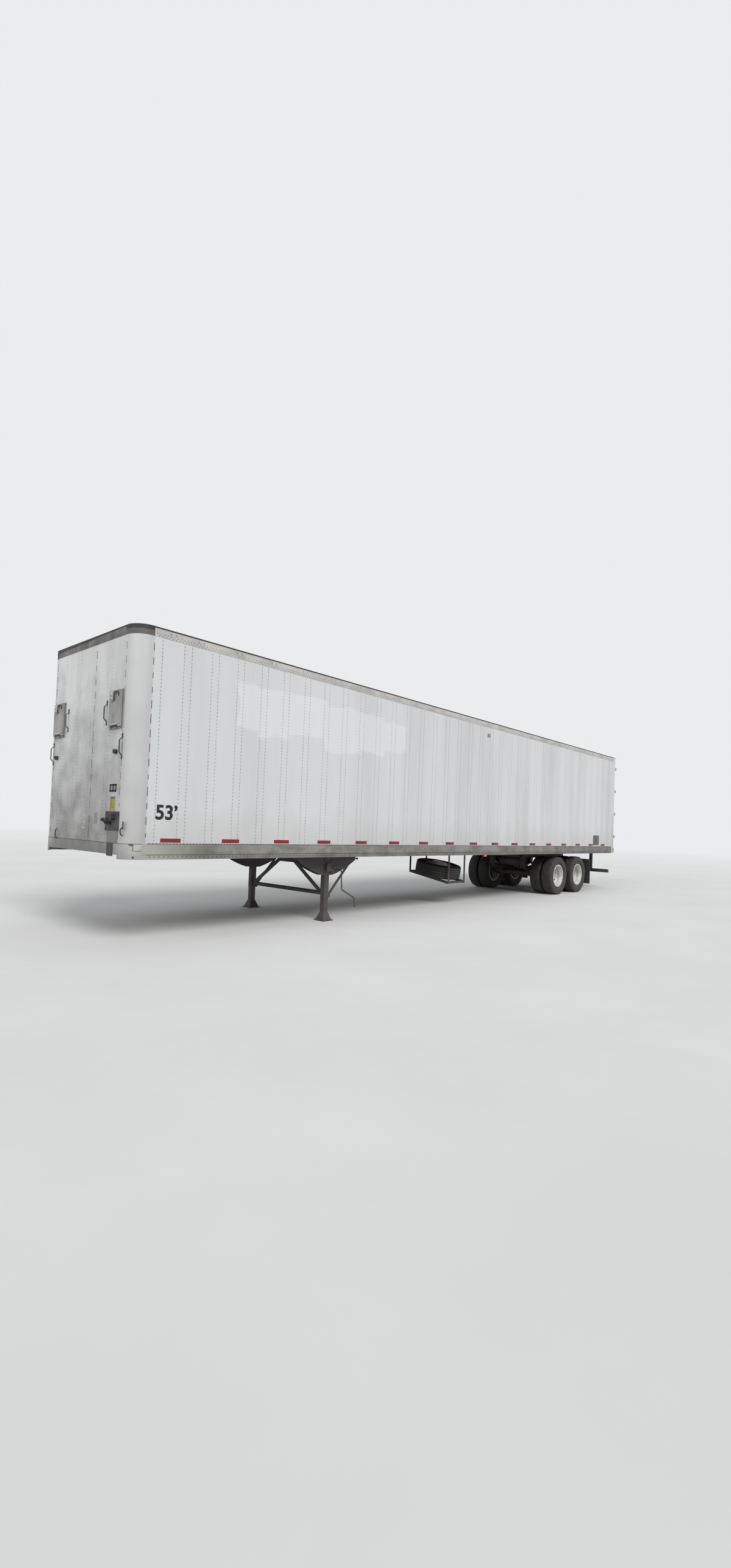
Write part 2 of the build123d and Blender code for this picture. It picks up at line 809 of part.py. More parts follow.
# Braces: a cross tube and two diagonals to the middle of the frame
inner_face_y = leg_offset - leg_section / 2
with BuildPart() as landing_braces:
    rod(
        (landing_x, -inner_face_y, cross_tube_height),
        (landing_x, inner_face_y, cross_tube_height),
        cross_tube_radius,
    )
    block((landing_x - 6, landing_x + 6), (-260, 260), (940, beam_base - 30))
    block((landing_x - 200, landing_x + 200), (-60, 60), (beam_base - 30, beam_base))
    for sign in (1, -1):
        flat_bar(
            (landing_x + 11, sign * (inner_face_y - 50), cross_tube_height + 30),
            (landing_x + 11, sign * 190, 985),
            brace_width,
            brace_thickness,
            (0, 1, 0),
        )
save(landing_braces.part, "landing_braces")

# One strut behind each leg, from a lug low on the leg up to the end of the wing plates
with BuildPart() as leg_struts:
    for sign in (1, -1):
        flat_bar(
            (landing_x - leg_section / 2 - 30, sign * leg_offset, leg_bottom + 40),
            (landing_x - 590, sign * leg_offset, beam_base - 190),
            brace_thickness,
            46,
            (0, 1, 0),
        )
        block(
            (landing_x - leg_section / 2 - 80, landing_x - leg_section / 2),
            (sign * leg_offset - 5, sign * leg_offset + 5),
            (leg_bottom + 5, leg_bottom + 75),
        )
save(leg_struts.part, "leg_struts")

# Gearbox, cross shaft and the crank, folded down behind the roadside leg
gear_z = beam_base - 250
gear_y = leg_offset + leg_section / 2 + wing_plate
crank_y = gear_y + 60
with BuildPart() as landing_crank:
    block((landing_x - 95, landing_x + 60), (gear_y, gear_y + 45), (gear_z - 70, gear_z + 70))
    shaft_x = landing_x - 30
    shaft_end_y = leg_offset - leg_section / 2 - wing_plate
    rod((shaft_x, -shaft_end_y, gear_z + 90), (shaft_x, shaft_end_y, gear_z + 90), 16)
    rod((landing_x - 70, gear_y + 45, gear_z), (landing_x - 70, crank_y + 20, gear_z), 14)
    with BuildLine() as crank_path:
        FilletPolyline(
            (landing_x - 270, crank_y, gear_z),
            (landing_x - 300, crank_y, gear_z - 390),
            (landing_x - 620, crank_y, gear_z - 550),
            (landing_x - 650, crank_y, gear_z - 720),
            radius=40,
        )
    with BuildSketch(Plane(origin=crank_path.line @ 0, z_dir=crank_path.line % 0)):
        Circle(crank_radius)
    sweep(path=crank_path.line)
    rod((landing_x - 70, crank_y, gear_z), (landing_x - 275, crank_y, gear_z), 12)
save(landing_crank.part, "landing_crank")

# Slide rails of the body, under the crossmembers
slide_base = beam_base - slide_rail_height
with BuildPart() as slide_rails:
    for sign in (1, -1):
        outer_y = spring_offset + slide_rail_width / 2
        inner_y = spring_offset - slide_rail_width / 2
        outline = (
            (inner_y, beam_base),
            (outer_y, beam_base),
            (outer_y, beam_base - slide_rail_thickness),
            (inner_y + slide_rail_thickness, beam_base - slide_rail_thickness),
            (inner_y + slide_rail_thickness, slide_base + slide_rail_thickness),
            (outer_y, slide_base + slide_rail_thickness),
            (outer_y, slide_base),
            (inner_y, slide_base),
        )
        section_along_x([(sign * y, z) for y, z in outline], rear_x + slide_rear_reach, rear_x + slide_front_reach)
save(slide_rails.part, "slide_rails")

# Bogie frame: two channels with cross channels and three pairs of hangers
bogie_top = slide_base - running_gap
bogie_base = bogie_top - bogie_rail_height
spring_top = tyre_radius + axle_radius + spring_seat_height + 3 * leaf_thickness
hanger_pad = spring_top + spring_camber + running_gap
hanger_base = hanger_pad - hanger_reach
hanger_inner = spring_width / 2 + 2
hanger_outer = hanger_inner + hanger_plate
hanger_x = axle_spacing / 2 + spring_half_length
flap_x = tandem_x - flap_setback
flap_top = bogie_base - 30
bogie_inner = spring_offset - slide_rail_width / 2
bogie_outer = spring_offset + slide_rail_width / 2
with BuildPart() as bogie_frame:
    for sign in (1, -1):
        outline = (
            (bogie_outer, bogie_top),
            (bogie_outer, bogie_base),
            (bogie_inner, bogie_base),
            (bogie_inner, bogie_base + 10),
            (bogie_outer - 10, bogie_base + 10),
            (bogie_outer - 10, bogie_top - 10),
            (bogie_inner, bogie_top - 10),
            (bogie_inner, bogie_top),
        )
        section_along_x(
            [(sign * y, z) for y, z in outline],
            tandem_x - bogie_half_length,
            tandem_x + bogie_half_length,
        )
        # Hangers: foot half-width, head half-width, position along the bogie
        for foot, head, station in ((50, 90, -hanger_x), (70, 140, 0), (50, 90, hanger_x)):
            for face in (1, -1):
                plate_along_y(
                    (
                        (tandem_x + station - head, bogie_base),
                        (tandem_x + station - foot, hanger_base),
                        (tandem_x + station + foot, hanger_base),
                        (tandem_x + station + head, bogie_base),
                    ),
                    sign * spring_offset + face * hanger_inner,
                    sign * spring_offset + face * hanger_outer,
                )
            if station:
                block(
                    (tandem_x + station - foot, tandem_x + station + foot),
                    (sign * spring_offset - hanger_inner, sign * spring_offset + hanger_inner),
                    (hanger_pad, bogie_base),
                )
    for station in (-bogie_half_length + 60, -330, 330, 900, bogie_half_length - 60):
        block(
            (tandem_x + station - 30, tandem_x + station + 30),
            (-bogie_inner, bogie_inner),
            (bogie_base, bogie_top - 20),
        )
    # Slider lock: its shaft along the middle and the pull rod to the roadside
    lock_z = bogie_base - 25
    block((tandem_x - 8, tandem_x + 8), (0, pull_rod_reach), (lock_z - 8, lock_z + 8))
    block((tandem_x - 8, tandem_x + 8), (pull_rod_reach - 16, pull_rod_reach), (lock_z - 95, lock_z + 8))
    block((tandem_x - 360, tandem_x + 360), (-20, 20), (lock_z - 12, bogie_base))
    # Hanger bars of the mud flaps
    for sign in (1, -1):
        block(
            (flap_x + flap_thickness, flap_x + flap_thickness + 30),
            (sign * (bogie_inner + 5), sign * (half_width - 15)),
            (flap_top - 60, flap_top),
        )
        plate_along_y(
            (
                (flap_x + flap_thickness, bogie_base),
                (flap_x + flap_thickness, flap_top - 60),
                (tandem_x - bogie_half_length + 60, bogie_base),
            ),
            sign * spring_offset - 5,
            sign * spring_offset + 5,
        )
save(bogie_frame.part, "bogie_frame")

# Leaf springs: three tapering leaves over each axle end
axle_stations = (tandem_x + axle_spacing / 2, tandem_x - axle_spacing / 2)
spring_base = tyre_radius + axle_radius + spring_seat_height
leaf_radius = spring_half_length**2 / (2 * spring_camber) + spring_camber / 2
with BuildPart() as leaf_springs:
    for axle_x in axle_stations:
        for sign in (1, -1):
            # Leaf half-length, counted upwards from the shortest
            for index, half_length in enumerate((260, 400, spring_half_length)):
                low = spring_base + index * leaf_thickness
                centre_z = low + leaf_radius
                inner_radius = leaf_radius - leaf_thickness
                sweep_angle = asin(half_length / leaf_radius)
                end_low = (half_length, centre_z - leaf_radius * cos(sweep_angle))
                end_high = (inner_radius * sin(sweep_angle), centre_z - inner_radius * cos(sweep_angle))
                with BuildSketch(Plane.XZ.offset(-(sign * spring_offset + spring_width / 2))):
                    with BuildLine():
                        ThreePointArc(
                            (axle_x - end_low[0], end_low[1]), (axle_x, low), (axle_x + end_low[0], end_low[1])
                        )
                        Line((axle_x + end_low[0], end_low[1]), (axle_x + end_high[0], end_high[1]))
                        ThreePointArc(
                            (axle_x + end_high[0], end_high[1]),
                            (axle_x, low + leaf_thickness),
                            (axle_x - end_high[0], end_high[1]),
                        )
                        Line((axle_x - end_high[0], end_high[1]), (axle_x - end_low[0], end_low[1]))
                    make_face()
                extrude(amount=spring_width)
save(leaf_springs.part, "leaf_springs")

# Equalisers between the springs and the torque rods that hold the axles square
with BuildPart() as equalisers:
    for sign in (1, -1):
        centre_y = sign * spring_offset
        with BuildSketch(Plane.XZ.offset(-(centre_y + spring_width / 2))):
            with BuildLine():
                Polyline(
                    (tandem_x - 170, hanger_pad),
                    (tandem_x + 170, hanger_pad),
                    (tandem_x + 170, hanger_pad + 26),
                    (tandem_x + 45, hanger_pad + 105),
                    (tandem_x - 45, hanger_pad + 105),
                    (tandem_x - 170, hanger_pad + 26),
                    close=True,
                )
            make_face()
        extrude(amount=spring_width)
        rod(
            (tandem_x, centre_y - hanger_inner, hanger_pad + 60),
            (tandem_x, centre_y + hanger_inner, hanger_pad + 60),
            25,
        )
    for axle_x, anchor_x in ((axle_stations[0], tandem_x + hanger_x), (axle_stations[1], tandem_x)):
        for sign in (1, -1):
            rod(
                (anchor_x - 10, sign * spring_offset, hanger_base + 25),
                (axle_x + 82, sign * spring_offset, tyre_radius + 5),
                18,
            )
            rod(
                (anchor_x - 10, sign * spring_offset - hanger_inner, hanger_base + 25),
                (anchor_x - 10, sign * spring_offset + hanger_inner, hanger_base + 25),
                24,
            )
save(equalisers.part, "equalisers")

# Axles: tube, spindles, dust plates, spring seats and the clamps round the springs
spindle_end = twin_y + 60
axle_tube_end = twin_y - 278
clamp_y = spring_width / 2 + 11
clamp_half = 75
clamp_level = spring_top + clamp_half**2 / (2 * leaf_radius) + running_gap
with BuildPart() as axles:
    for axle_x in axle_stations:
        rod((axle_x, -axle_tube_end, tyre_radius), (axle_x, axle_tube_end, tyre_radius), axle_radius)
        rod((axle_x, -spindle_end, tyre_radius), (axle_x, spindle_end, tyre_radius), spindle_radius)
        for sign in (1, -1):
            rod(
                (axle_x, sign * (axle_tube_end - 20), tyre_radius),
                (axle_x, sign * (axle_tube_end - 12), tyre_radius),
                drum_radius - 12,
            )
            block(
                (axle_x - clamp_half, axle_x + clamp_half),
                (sign * spring_offset - spring_width / 2, sign * spring_offset + spring_width / 2),
                (tyre_radius, spring_base),
            )
            for low in (tyre_radius - axle_radius - 14, clamp_level):
                block(
                    (axle_x - clamp_half, axle_x + clamp_half),
                    (sign * spring_offset - clamp_y - 12, sign * spring_offset + clamp_y + 12),
                    (low, low + 14),
                )
            for step_x in (-56, 56):
                for step_y in (-clamp_y, clamp_y):
                    rod(
                        (axle_x + step_x, sign * spring_offset + step_y, tyre_radius - axle_radius - 25),
                        (axle_x + step_x, sign * spring_offset + step_y, spring_top + 25),
                        9,
                    )
save(axles.part, "axles")

# Brake chambers: a two-part can on a bracket beside each wheel, with its camshaft tube
chamber_y = 300
chamber_z = tyre_radius + 60
with BuildPart() as brake_chambers:
    for axle_x in axle_stations:
        for sign in (1, -1):
            centre = (axle_x - 130, sign * chamber_y, chamber_z)
            with BuildSketch(Plane(origin=centre, x_dir=(0, 0, 1), z_dir=(0, -1, 0))):
                with BuildLine():
                    Polyline(
                        (0, 0), (60, 0), (82, 25), (82, 70), (90, 72), (90, 88),
                        (82, 90), (82, 200), (60, 225), (0, 225),
                        close=True,
                    )
                make_face()
            revolve(axis=Axis(centre, (-1, 0, 0)))
            block(
                (axle_x - 131, axle_x - 119),
                (sign * (chamber_y - 60), sign * (chamber_y + 60)),
                (tyre_radius - 40, chamber_z + 60),
            )
            block(
                (axle_x - 119, axle_x - axle_radius - running_gap),
                (sign * (chamber_y - 5), sign * (chamber_y + 5)),
                (tyre_radius - 25, tyre_radius + 45),
            )
            rod(
                (axle_x - 100, sign * (chamber_y - 40), tyre_radius - 5),
                (axle_x - 100, sign * (axle_tube_end - 20 - running_gap), tyre_radius - 5),
                17,
            )
save(brake_chambers.part, "brake_chambers")

# Air tank in two bands under the bogie
tank_x = tandem_x + 900
tank_z = bogie_base - tank_radius - 6
tank_half = tank_length / 2
band_radius = tank_radius + 6
tank_section = (
    (-tank_half - 40, 0),
    (-tank_half - 32, tank_radius * 0.5),
    (-tank_half - 12, tank_radius * 0.88),
    (-tank_half + 10, tank_radius),
    (-220, tank_radius),
    (-220, band_radius),
    (-180, band_radius),
    (-180, tank_radius),
    (180, tank_radius),
    (180, band_radius),
    (220, band_radius),
    (220, tank_radius),
    (tank_half - 10, tank_radius),
    (tank_half + 12, tank_radius * 0.88),
    (tank_half + 32, tank_radius * 0.5),
    (tank_half + 40, 0),
)
with BuildPart() as air_tank:
    with BuildSketch(Plane(origin=(tank_x, 0, tank_z), x_dir=(0, 1, 0), z_dir=(1, 0, 0))):
        with BuildLine():
            Polyline(*tank_section, close=True)
        make_face()
    revolve(axis=Axis((tank_x, 0, tank_z), (0, 1, 0)))
save(air_tank.part, "air_tank")

# Mud flaps
with BuildPart() as mud_flaps:
    for sign in (1, -1):
        block(
            (flap_x, flap_x + flap_thickness),
            (sign * (half_width - 5 - flap_width), sign * (half_width - 5)),
            (flap_bottom, flap_top),
        )
save(mud_flaps.part, "mud_flaps")

def wheel_profile(axle_x, points):
    """Revolves a closed outline of (y, radius) points about an axle line."""
    origin = (axle_x, 0, tyre_radius)
    with BuildSketch(Plane(origin=origin, x_dir=(0, 1, 0), z_dir=(1, 0, 0))) as section:
        with BuildLine():
            Polyline(*points, close=True)
        make_face()
    revolve(section.sketch, axis=Axis(origin, (0, 1, 0)))


# Tyre section: half of it, as distance from the middle and radius
bead = rim_bead_width / 2
half_tyre = tyre_width / 2
tyre_half_section = (
    (bead, rim_radius),
    (bead, rim_radius + rim_flange_height + 1),
    (half_tyre - 8, rim_radius + 70),
    (half_tyre, rim_radius + 110),
    (half_tyre - 6, tyre_radius - 62),
    (half_tyre - 17, tyre_radius - 16),
    (half_tyre - 34, tyre_radius),
)
# Rim section from edge to edge: barrel with a drop centre and a lip at each side
lip = bead + 14
rim_section = (
    (-lip, rim_radius + rim_flange_height),
    (-lip, rim_radius - 14),
    (-bead + 20, rim_radius - 20),
    (-bead + 60, rim_radius - 32),
    (bead - 60, rim_radius - 32),
    (bead - 20, rim_radius - 20),
    (lip, rim_radius - 14),
    (lip, rim_radius + rim_flange_height),
    (bead + running_gap, rim_radius + rim_flange_height),
    (bead + running_gap, rim_radius - running_gap),
    (-bead - running_gap, rim_radius - running_gap),
    (-bead - running_gap, rim_radius + rim_flange_height),
)
disc_thickness = 11
pilot_radius = 110
bolt_face_radius = 168
hand_hole_count = 5
hand_hole_radius = 24
hand_hole_circle = 212


def tyre_points(centre_y):
    """Tyre section about one tyre's middle."""
    right = [(centre_y + y, r) for y, r in tyre_half_section]
    left = [(centre_y - y, r) for y, r in reversed(tyre_half_section)]
    return right + left


def disc_points(side, centre_y, barrel_y):
    """Disc from the bolt face on the twin's middle plane out to a rim's barrel.

    side is +1 for the disc that dishes outwards from the middle plane and -1 for the inner one.
    """
    middle = side_sign(centre_y) * twin_y
    step = side * side_sign(centre_y)
    return (
        (middle, pilot_radius),
        (middle + step * disc_thickness, pilot_radius),
        (middle + step * disc_thickness, bolt_face_radius - 4),
        (barrel_y + step * disc_thickness * 0.7, rim_radius - 31),
        (barrel_y - step * disc_thickness * 0.7, rim_radius - 31),
        (middle, bolt_face_radius),
    )


def side_sign(value):
    """+1 on the roadside, -1 on the kerb side."""
    return 1 if value > 0 else -1


# Twin wheel sets: two tyres, two disc wheels and one hub with its brake drum at each axle end
corners = (
    ("front_left", axle_stations[0], 1),
    ("front_right", axle_stations[0], -1),
    ("rear_left", axle_stations[1], 1),
    ("rear_right", axle_stations[1], -1),
)
hub_inner = twin_y - 178
drum_inner = axle_tube_end + moving_gap - 2
for corner, axle_x, sign in corners:
    tyre_middles = [sign * (twin_y + step * twin_spacing / 2) for step in (-1, 1)]
    with BuildPart() as tyres:
        for middle in tyre_middles:
            wheel_profile(axle_x, tyre_points(middle))
    save(tyres.part, f"tyres_{corner}")

    with BuildPart() as rims:
        for step, middle in zip((-1, 1), tyre_middles):
            wheel_profile(axle_x, [(middle + y, r) for y, r in rim_section])
            barrel_y = middle - sign * step * (bead - 75)
            wheel_profile(axle_x, disc_points(step, middle, barrel_y))
        # Hand holes go through both discs, so that the tyre valves can be reached
        with BuildSketch(Plane(origin=(axle_x, 0, tyre_radius), x_dir=(1, 0, 0), z_dir=(0, 1, 0))) as holes:
            with PolarLocations(hand_hole_circle, hand_hole_count):
                Circle(hand_hole_radius)
        extrude(holes.sketch, amount=sign * body_width, mode=Mode.SUBTRACT)
    save(rims.part, f"rims_{corner}")

    flange_y = twin_y - disc_thickness
    hub_section = (
        (hub_inner, spindle_radius + running_gap),
        (hub_inner, 72),
        (flange_y - 30, 84),
        (flange_y - 30, 150),
        (flange_y - 84, drum_radius - 22),
        (drum_inner, drum_radius - 22),
        (drum_inner, drum_radius),
        (flange_y - 76, drum_radius),
        (flange_y - 12, 158),
        (flange_y, 158),
        (flange_y, pilot_radius - running_gap),
        (twin_y + 18, pilot_radius - running_gap),
        (twin_y + 24, 82),
        (twin_y + 95, 76),
        (twin_y + 112, 62),
        (twin_y + 112, 0.0),
        (spindle_end + running_gap, 0.0),
        (spindle_end + running_gap, spindle_radius + running_gap),
    )
    with BuildPart() as hub:
        wheel_profile(axle_x, [(sign * y, r) for y, r in hub_section])
    save(hub.part, f"hub_{corner}")

# Spare wheel: lies on two tilted arms hung from the crossmembers
spare_origin = (spare_x, spare_offset, spare_height)
tilt = radians(spare_tilt)
spare_axis = (0, sin(tilt), cos(tilt))
spare_side = (0, cos(tilt), -sin(tilt))


def spare_profile(points):
    """Revolves a closed outline of (radius, height) points about the spare's tilted axle line."""
    with BuildSketch(Plane(origin=spare_origin, x_dir=spare_side, z_dir=(1, 0, 0))) as section:
        with BuildLine():
            Polyline(*points, close=True)
        make_face()
    revolve(section.sketch, axis=Axis(spare_origin, spare_axis))


with BuildPart() as spare_tyre:
    spare_profile([(r, y) for y, r in tyre_points(0)])
save(spare_tyre.part, "spare_tyre")

spare_disc = (
    (pilot_radius, -168),
    (pilot_radius, -168 + disc_thickness),
    (bolt_face_radius - 4, -168 + disc_thickness),
    (rim_radius - 31, -bead + 83),
    (rim_radius - 31, -bead + 67),
    (bolt_face_radius, -168),
)
with BuildPart() as spare_rim:
    spare_profile([(r, y) for y, r in rim_section])
    spare_profile([(r, -y) for r, y in spare_disc])
    with BuildSketch(Plane(origin=spare_origin, x_dir=spare_side, z_dir=spare_axis)) as holes:
        with PolarLocations(hand_hole_circle, hand_hole_count):
            Circle(hand_hole_radius)
    extrude(holes.sketch, amount=twin_spacing, both=True, mode=Mode.SUBTRACT)
save(spare_rim.part, "spare_rim")


def spare_point(along_x, along_side, along_axis):
    """A point given along X, down the tilted tray and up the spare's axle line."""
    side = Vector(*spare_side) * along_side
    up = Vector(*spare_axis) * along_axis
    point = Vector(*spare_origin) + Vector(along_x, 0, 0) + side + up
    return (point.X, point.Y, point.Z)


with BuildPart() as spare_carrier:
    tray_level = -half_tyre - running_gap - carrier_bar / 2
    reach = tyre_radius + 30
    for along_x in (-crossmember_pitch, crossmember_pitch):
        flat_bar(
            spare_point(along_x, -reach, tray_level),
            spare_point(along_x, reach, tray_level),
            carrier_bar,
            carrier_bar,
            (1, 0, 0),
        )
        for end in (-1, 1):
            foot = spare_point(along_x, end * (reach - carrier_bar / 2), tray_level)
            block(
                (foot[0] - carrier_bar / 2, foot[0] + carrier_bar / 2),
                (foot[1] - 5 + end * 27, foot[1] + 5 + end * 27),
                (foot[2] - 22, beam_base),
            )
    for end in (-1, 1):
        flat_bar(
            spare_point(-crossmember_pitch, end * (reach - 25), tray_level),
            spare_point(crossmember_pitch, end * (reach - 25), tray_level),
            carrier_bar - 10,
            carrier_bar - 10,
            spare_side,
        )
save(spare_carrier.part, "spare_carrier")
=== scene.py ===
# %% [markdown]
# # A dry van semi trailer
#
# This lesson dresses a finished CAD model of a semi trailer for a studio picture. The model gives
# every piece its true size and place in metres, so nothing is fitted by eye. Blender adds what is
# too fine for the CAD: rivets, seams, tyre tread, wheel nuts, lamp lenses, tape, and the paint, metal,
# rubber and wood that cover it all.

# %% Load the model as a fixed frame
import bmesh
import bpy
import math
import numpy as np
from mathutils import Matrix, Vector


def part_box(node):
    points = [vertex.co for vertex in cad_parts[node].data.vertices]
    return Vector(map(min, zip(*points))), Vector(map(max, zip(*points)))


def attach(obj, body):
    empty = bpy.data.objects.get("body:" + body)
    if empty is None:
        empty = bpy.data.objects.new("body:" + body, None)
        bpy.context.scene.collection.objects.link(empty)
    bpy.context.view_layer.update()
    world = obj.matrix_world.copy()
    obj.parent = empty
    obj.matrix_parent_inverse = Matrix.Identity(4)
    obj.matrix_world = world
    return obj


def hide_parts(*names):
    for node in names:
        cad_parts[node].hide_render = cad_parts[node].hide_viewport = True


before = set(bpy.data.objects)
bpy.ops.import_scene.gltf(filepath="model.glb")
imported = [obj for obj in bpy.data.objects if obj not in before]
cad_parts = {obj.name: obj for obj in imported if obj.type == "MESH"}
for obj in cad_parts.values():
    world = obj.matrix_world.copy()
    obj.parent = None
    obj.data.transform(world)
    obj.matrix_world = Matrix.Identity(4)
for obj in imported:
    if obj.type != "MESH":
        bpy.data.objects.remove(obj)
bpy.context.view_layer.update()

# %% [markdown]
# ## Places on the trailer
#
# A piece that sits on a wall needs to know where the wall is. Each place is read from the model's
# own boxes, so it stays right if a size changes there.

# %% Faces and levels of the box body
wall_low, wall_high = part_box("side_wall_left")
_, front_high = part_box("front_wall")
frame_low, frame_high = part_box("rear_frame")
rail_low, rail_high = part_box("bottom_rails")
_, top_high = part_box("top_rails")

side_y, rail_y, seam_y = wall_high.y, rail_high.y, front_high.y
seam_x, nose_x = wall_high.x, front_high.x
back_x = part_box("rear_door_left")[0].x
deck_z, eave_z, roof_z = wall_low.z, wall_high.z, top_high.z
SIDES = (("left", 1), ("right", -1))
FORWARD, BACKWARD = (1, 0, 0), (-1, 0, 0)
print(f"side y {side_y:.4f}, nose x {nose_x:.4f}, back x {back_x:.4f}, deck {deck_z:.3f}, eave {eave_z:.3f}")

# %% [markdown]
# ## The camera
#
# The picture looks at the nose and the roadside from eye height, a few metres ahead of the trailer.
# The view direction is turned by a yaw and a pitch, and the frame is rolled about it by two degrees.
# The lens is wide. The picture's middle lies a little above the optical axis, which a small shift
# gives.

# %% Make the camera
PICTURE_HEIGHT, FOCAL_PIXELS, AXIS_BELOW_MIDDLE = 2574, 1027.6, 41.5
EYE = (11.8785, 8.728, 1.630)
yaw, pitch, roll = 3.8759, 0.0280, 0.0382


def new_object(name, data):
    """An object in the scene for a mesh, a camera or a lamp."""
    made = bpy.data.objects.new(name, data)
    bpy.context.scene.collection.objects.link(made)
    return made


forward = Vector((math.cos(pitch) * math.cos(yaw), math.cos(pitch) * math.sin(yaw), math.sin(pitch)))
level_right = Vector((math.sin(yaw), -math.cos(yaw), 0.0))
level_up = level_right.cross(forward)
right = math.cos(roll) * level_right + math.sin(roll) * level_up
up = math.cos(roll) * level_up - math.sin(roll) * level_right

camera_data = bpy.data.cameras.new("camera")
camera_data.sensor_width = 36.0
camera_data.lens = FOCAL_PIXELS / PICTURE_HEIGHT * camera_data.sensor_width
camera_data.shift_y = AXIS_BELOW_MIDDLE / PICTURE_HEIGHT
camera_data.clip_end = 500.0
camera = new_object("camera", camera_data)
rows = [[column[k] for column in (right, up, -forward, EYE)] for k in range(3)]
camera.matrix_world = Matrix(rows + [[0.0, 0.0, 0.0, 1.0]])
bpy.context.scene.camera = camera
print(f"lens {camera_data.lens:.2f} mm, shift {camera_data.shift_y:.4f}")

# %% [markdown]
# ## Shapes as arrays
#
# Most of the new pieces are surfaces over two parameters: how far along, and how far round. Such a
# surface is a stack of rings, so one function that joins rings with four-sided faces makes rods,
# domes, tyres and plates alike. A shape here is a pair: its points, and a list of face arrays.

# %% Join rings into a surface
def loft(rings, caps=True, loop=False):
    """Surface through rings (k, m, 3): face (i, j) joins points j and j+1 of rings i and i+1.

    caps closes the first and last ring with one flat face each. loop joins the last ring to the first.
    """
    count, around = rings.shape[:2]
    i = np.arange(count if loop else count - 1)[:, None]
    j = np.arange(around)[None, :]
    after_i, after_j = (i + 1) % count, (j + 1) % around
    corners = (i * around + j, i * around + after_j, after_i * around + after_j, after_i * around + j)
    faces = [np.stack(corners, -1).reshape(-1, 4)]
    if caps and not loop:
        faces += [np.arange(around)[None, ::-1], (count - 1) * around + np.arange(around)[None]]
    return rings.reshape(-1, 3), faces


# %% Merge, turn and place shapes
def merge(*shapes):
    """One shape out of several: points are stacked, and face numbers rise by the points before them."""
    points, faces, count = [], [], 0
    for shape_points, shape_faces in shapes:
        points.append(shape_points)
        faces += [face + count for face in shape_faces]
        count += len(shape_points)
    return np.concatenate(points), faces


def turned_to(axis, side=None):
    """Turn whose third column is the axis. Its first points to the side, by default along x, or else y."""
    z = np.asarray(axis, float) / np.linalg.norm(axis)
    if side is None:
        side = (0, 1, 0) if abs(z[0]) > 0.9 else (1, 0, 0)
    x = side - z * (side @ z)
    x /= np.linalg.norm(x)
    return np.stack([x, np.cross(z, x), z], 1)


def stand(shape, places, axis=(0, 0, 1), side=None):
    """The shape at one place or at many, its +Z along the axis: point = turn @ local point + place."""
    points, faces = shape
    places = np.atleast_2d(np.asarray(places, float))
    first = np.arange(len(places))[:, None, None] * len(points)
    stood = points @ turned_to(axis, side).T + places[:, None]
    return stood.reshape(-1, 3), [(face + first).reshape(-1, face.shape[1]) for face in faces]


def rows_of(x, y, z):
    """Places as rows (x, y, z). A single number is repeated for all of them."""
    return np.column_stack(np.broadcast_arrays(x, y, z))


# %% Turn shapes into a piece that rides on a body
SHARP_EDGE = math.radians(38)
total_triangles = 0
usual_slot = {}


def put_piece(name, shapes, material, body="trailer", slot=None):
    """Puts a shape, or a list of them, into a mesh with foreach_set and rides it on a body."""
    global total_triangles
    points, faces = merge(*shapes) if isinstance(shapes, list) else shapes
    sizes = np.concatenate([np.full(len(face), face.shape[1]) for face in faces])
    corners = np.concatenate([face.ravel() for face in faces])
    mesh = bpy.data.meshes.new(name)
    mesh.vertices.add(len(points))
    mesh.vertices.foreach_set("co", points.astype(np.float32).ravel())
    mesh.loops.add(len(corners))
    mesh.loops.foreach_set("vertex_index", corners.astype(np.int32))
    mesh.polygons.add(len(sizes))
    mesh.polygons.foreach_set("loop_start", np.concatenate([[0], np.cumsum(sizes)[:-1]]).astype(np.int32))
    mesh.polygons.foreach_set("loop_total", sizes.astype(np.int32))
    mesh.polygons.foreach_set("use_smooth", np.full(len(sizes), True))
    mesh.update(calc_edges=True)
    mesh.materials.append(material)
    piece = new_object(name, mesh)
    mesh.set_sharp_from_angle(angle=SHARP_EDGE)
    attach(piece, body)
    slot = slot or usual_slot[material.name]
    triangles = int((sizes - 2).sum())
    total_triangles += triangles
    print(f"{name}: {triangles} triangles")
    return piece

# %% [markdown]
# ## Turned, flat and bent shapes
#
# Three formulas cover nearly everything on a trailer. A lathe shape turns a profile about an axis: a
# rivet, a nut, a lamp, a hub cap. A slab is a rounded rectangle that shrinks towards its front along a
# quarter circle, so each plate has the small round edge that catches light. A tube carries a circle
# along a path.

# %% Lathe and slab
def lathe(profile, steps=24):
    """Profile of (radius, height) turned about +Z: point = (r cos a, r sin a, h)."""
    radius, height = np.asarray(profile, float).T[:, :, None]
    angle = np.linspace(0, 2 * np.pi, steps, endpoint=False)
    return loft(np.stack(np.broadcast_arrays(radius * np.cos(angle), radius * np.sin(angle), height), -1))


def rounded_outline(width, height, corner, steps=4):
    """Points round a rectangle whose corners are quarter circles: corner centre + r (cos a, sin a)."""
    angle = np.linspace(0, np.pi / 2, steps + 1) + np.array([0, 1, 2, 3])[:, None] * np.pi / 2
    centre_x = (width / 2 - corner) * np.array([1, -1, -1, 1])[:, None]
    centre_y = (height / 2 - corner) * np.array([1, 1, -1, -1])[:, None]
    outline = np.stack([centre_x + corner * np.cos(angle), centre_y + corner * np.sin(angle)], -1)
    return outline.reshape(-1, 2)


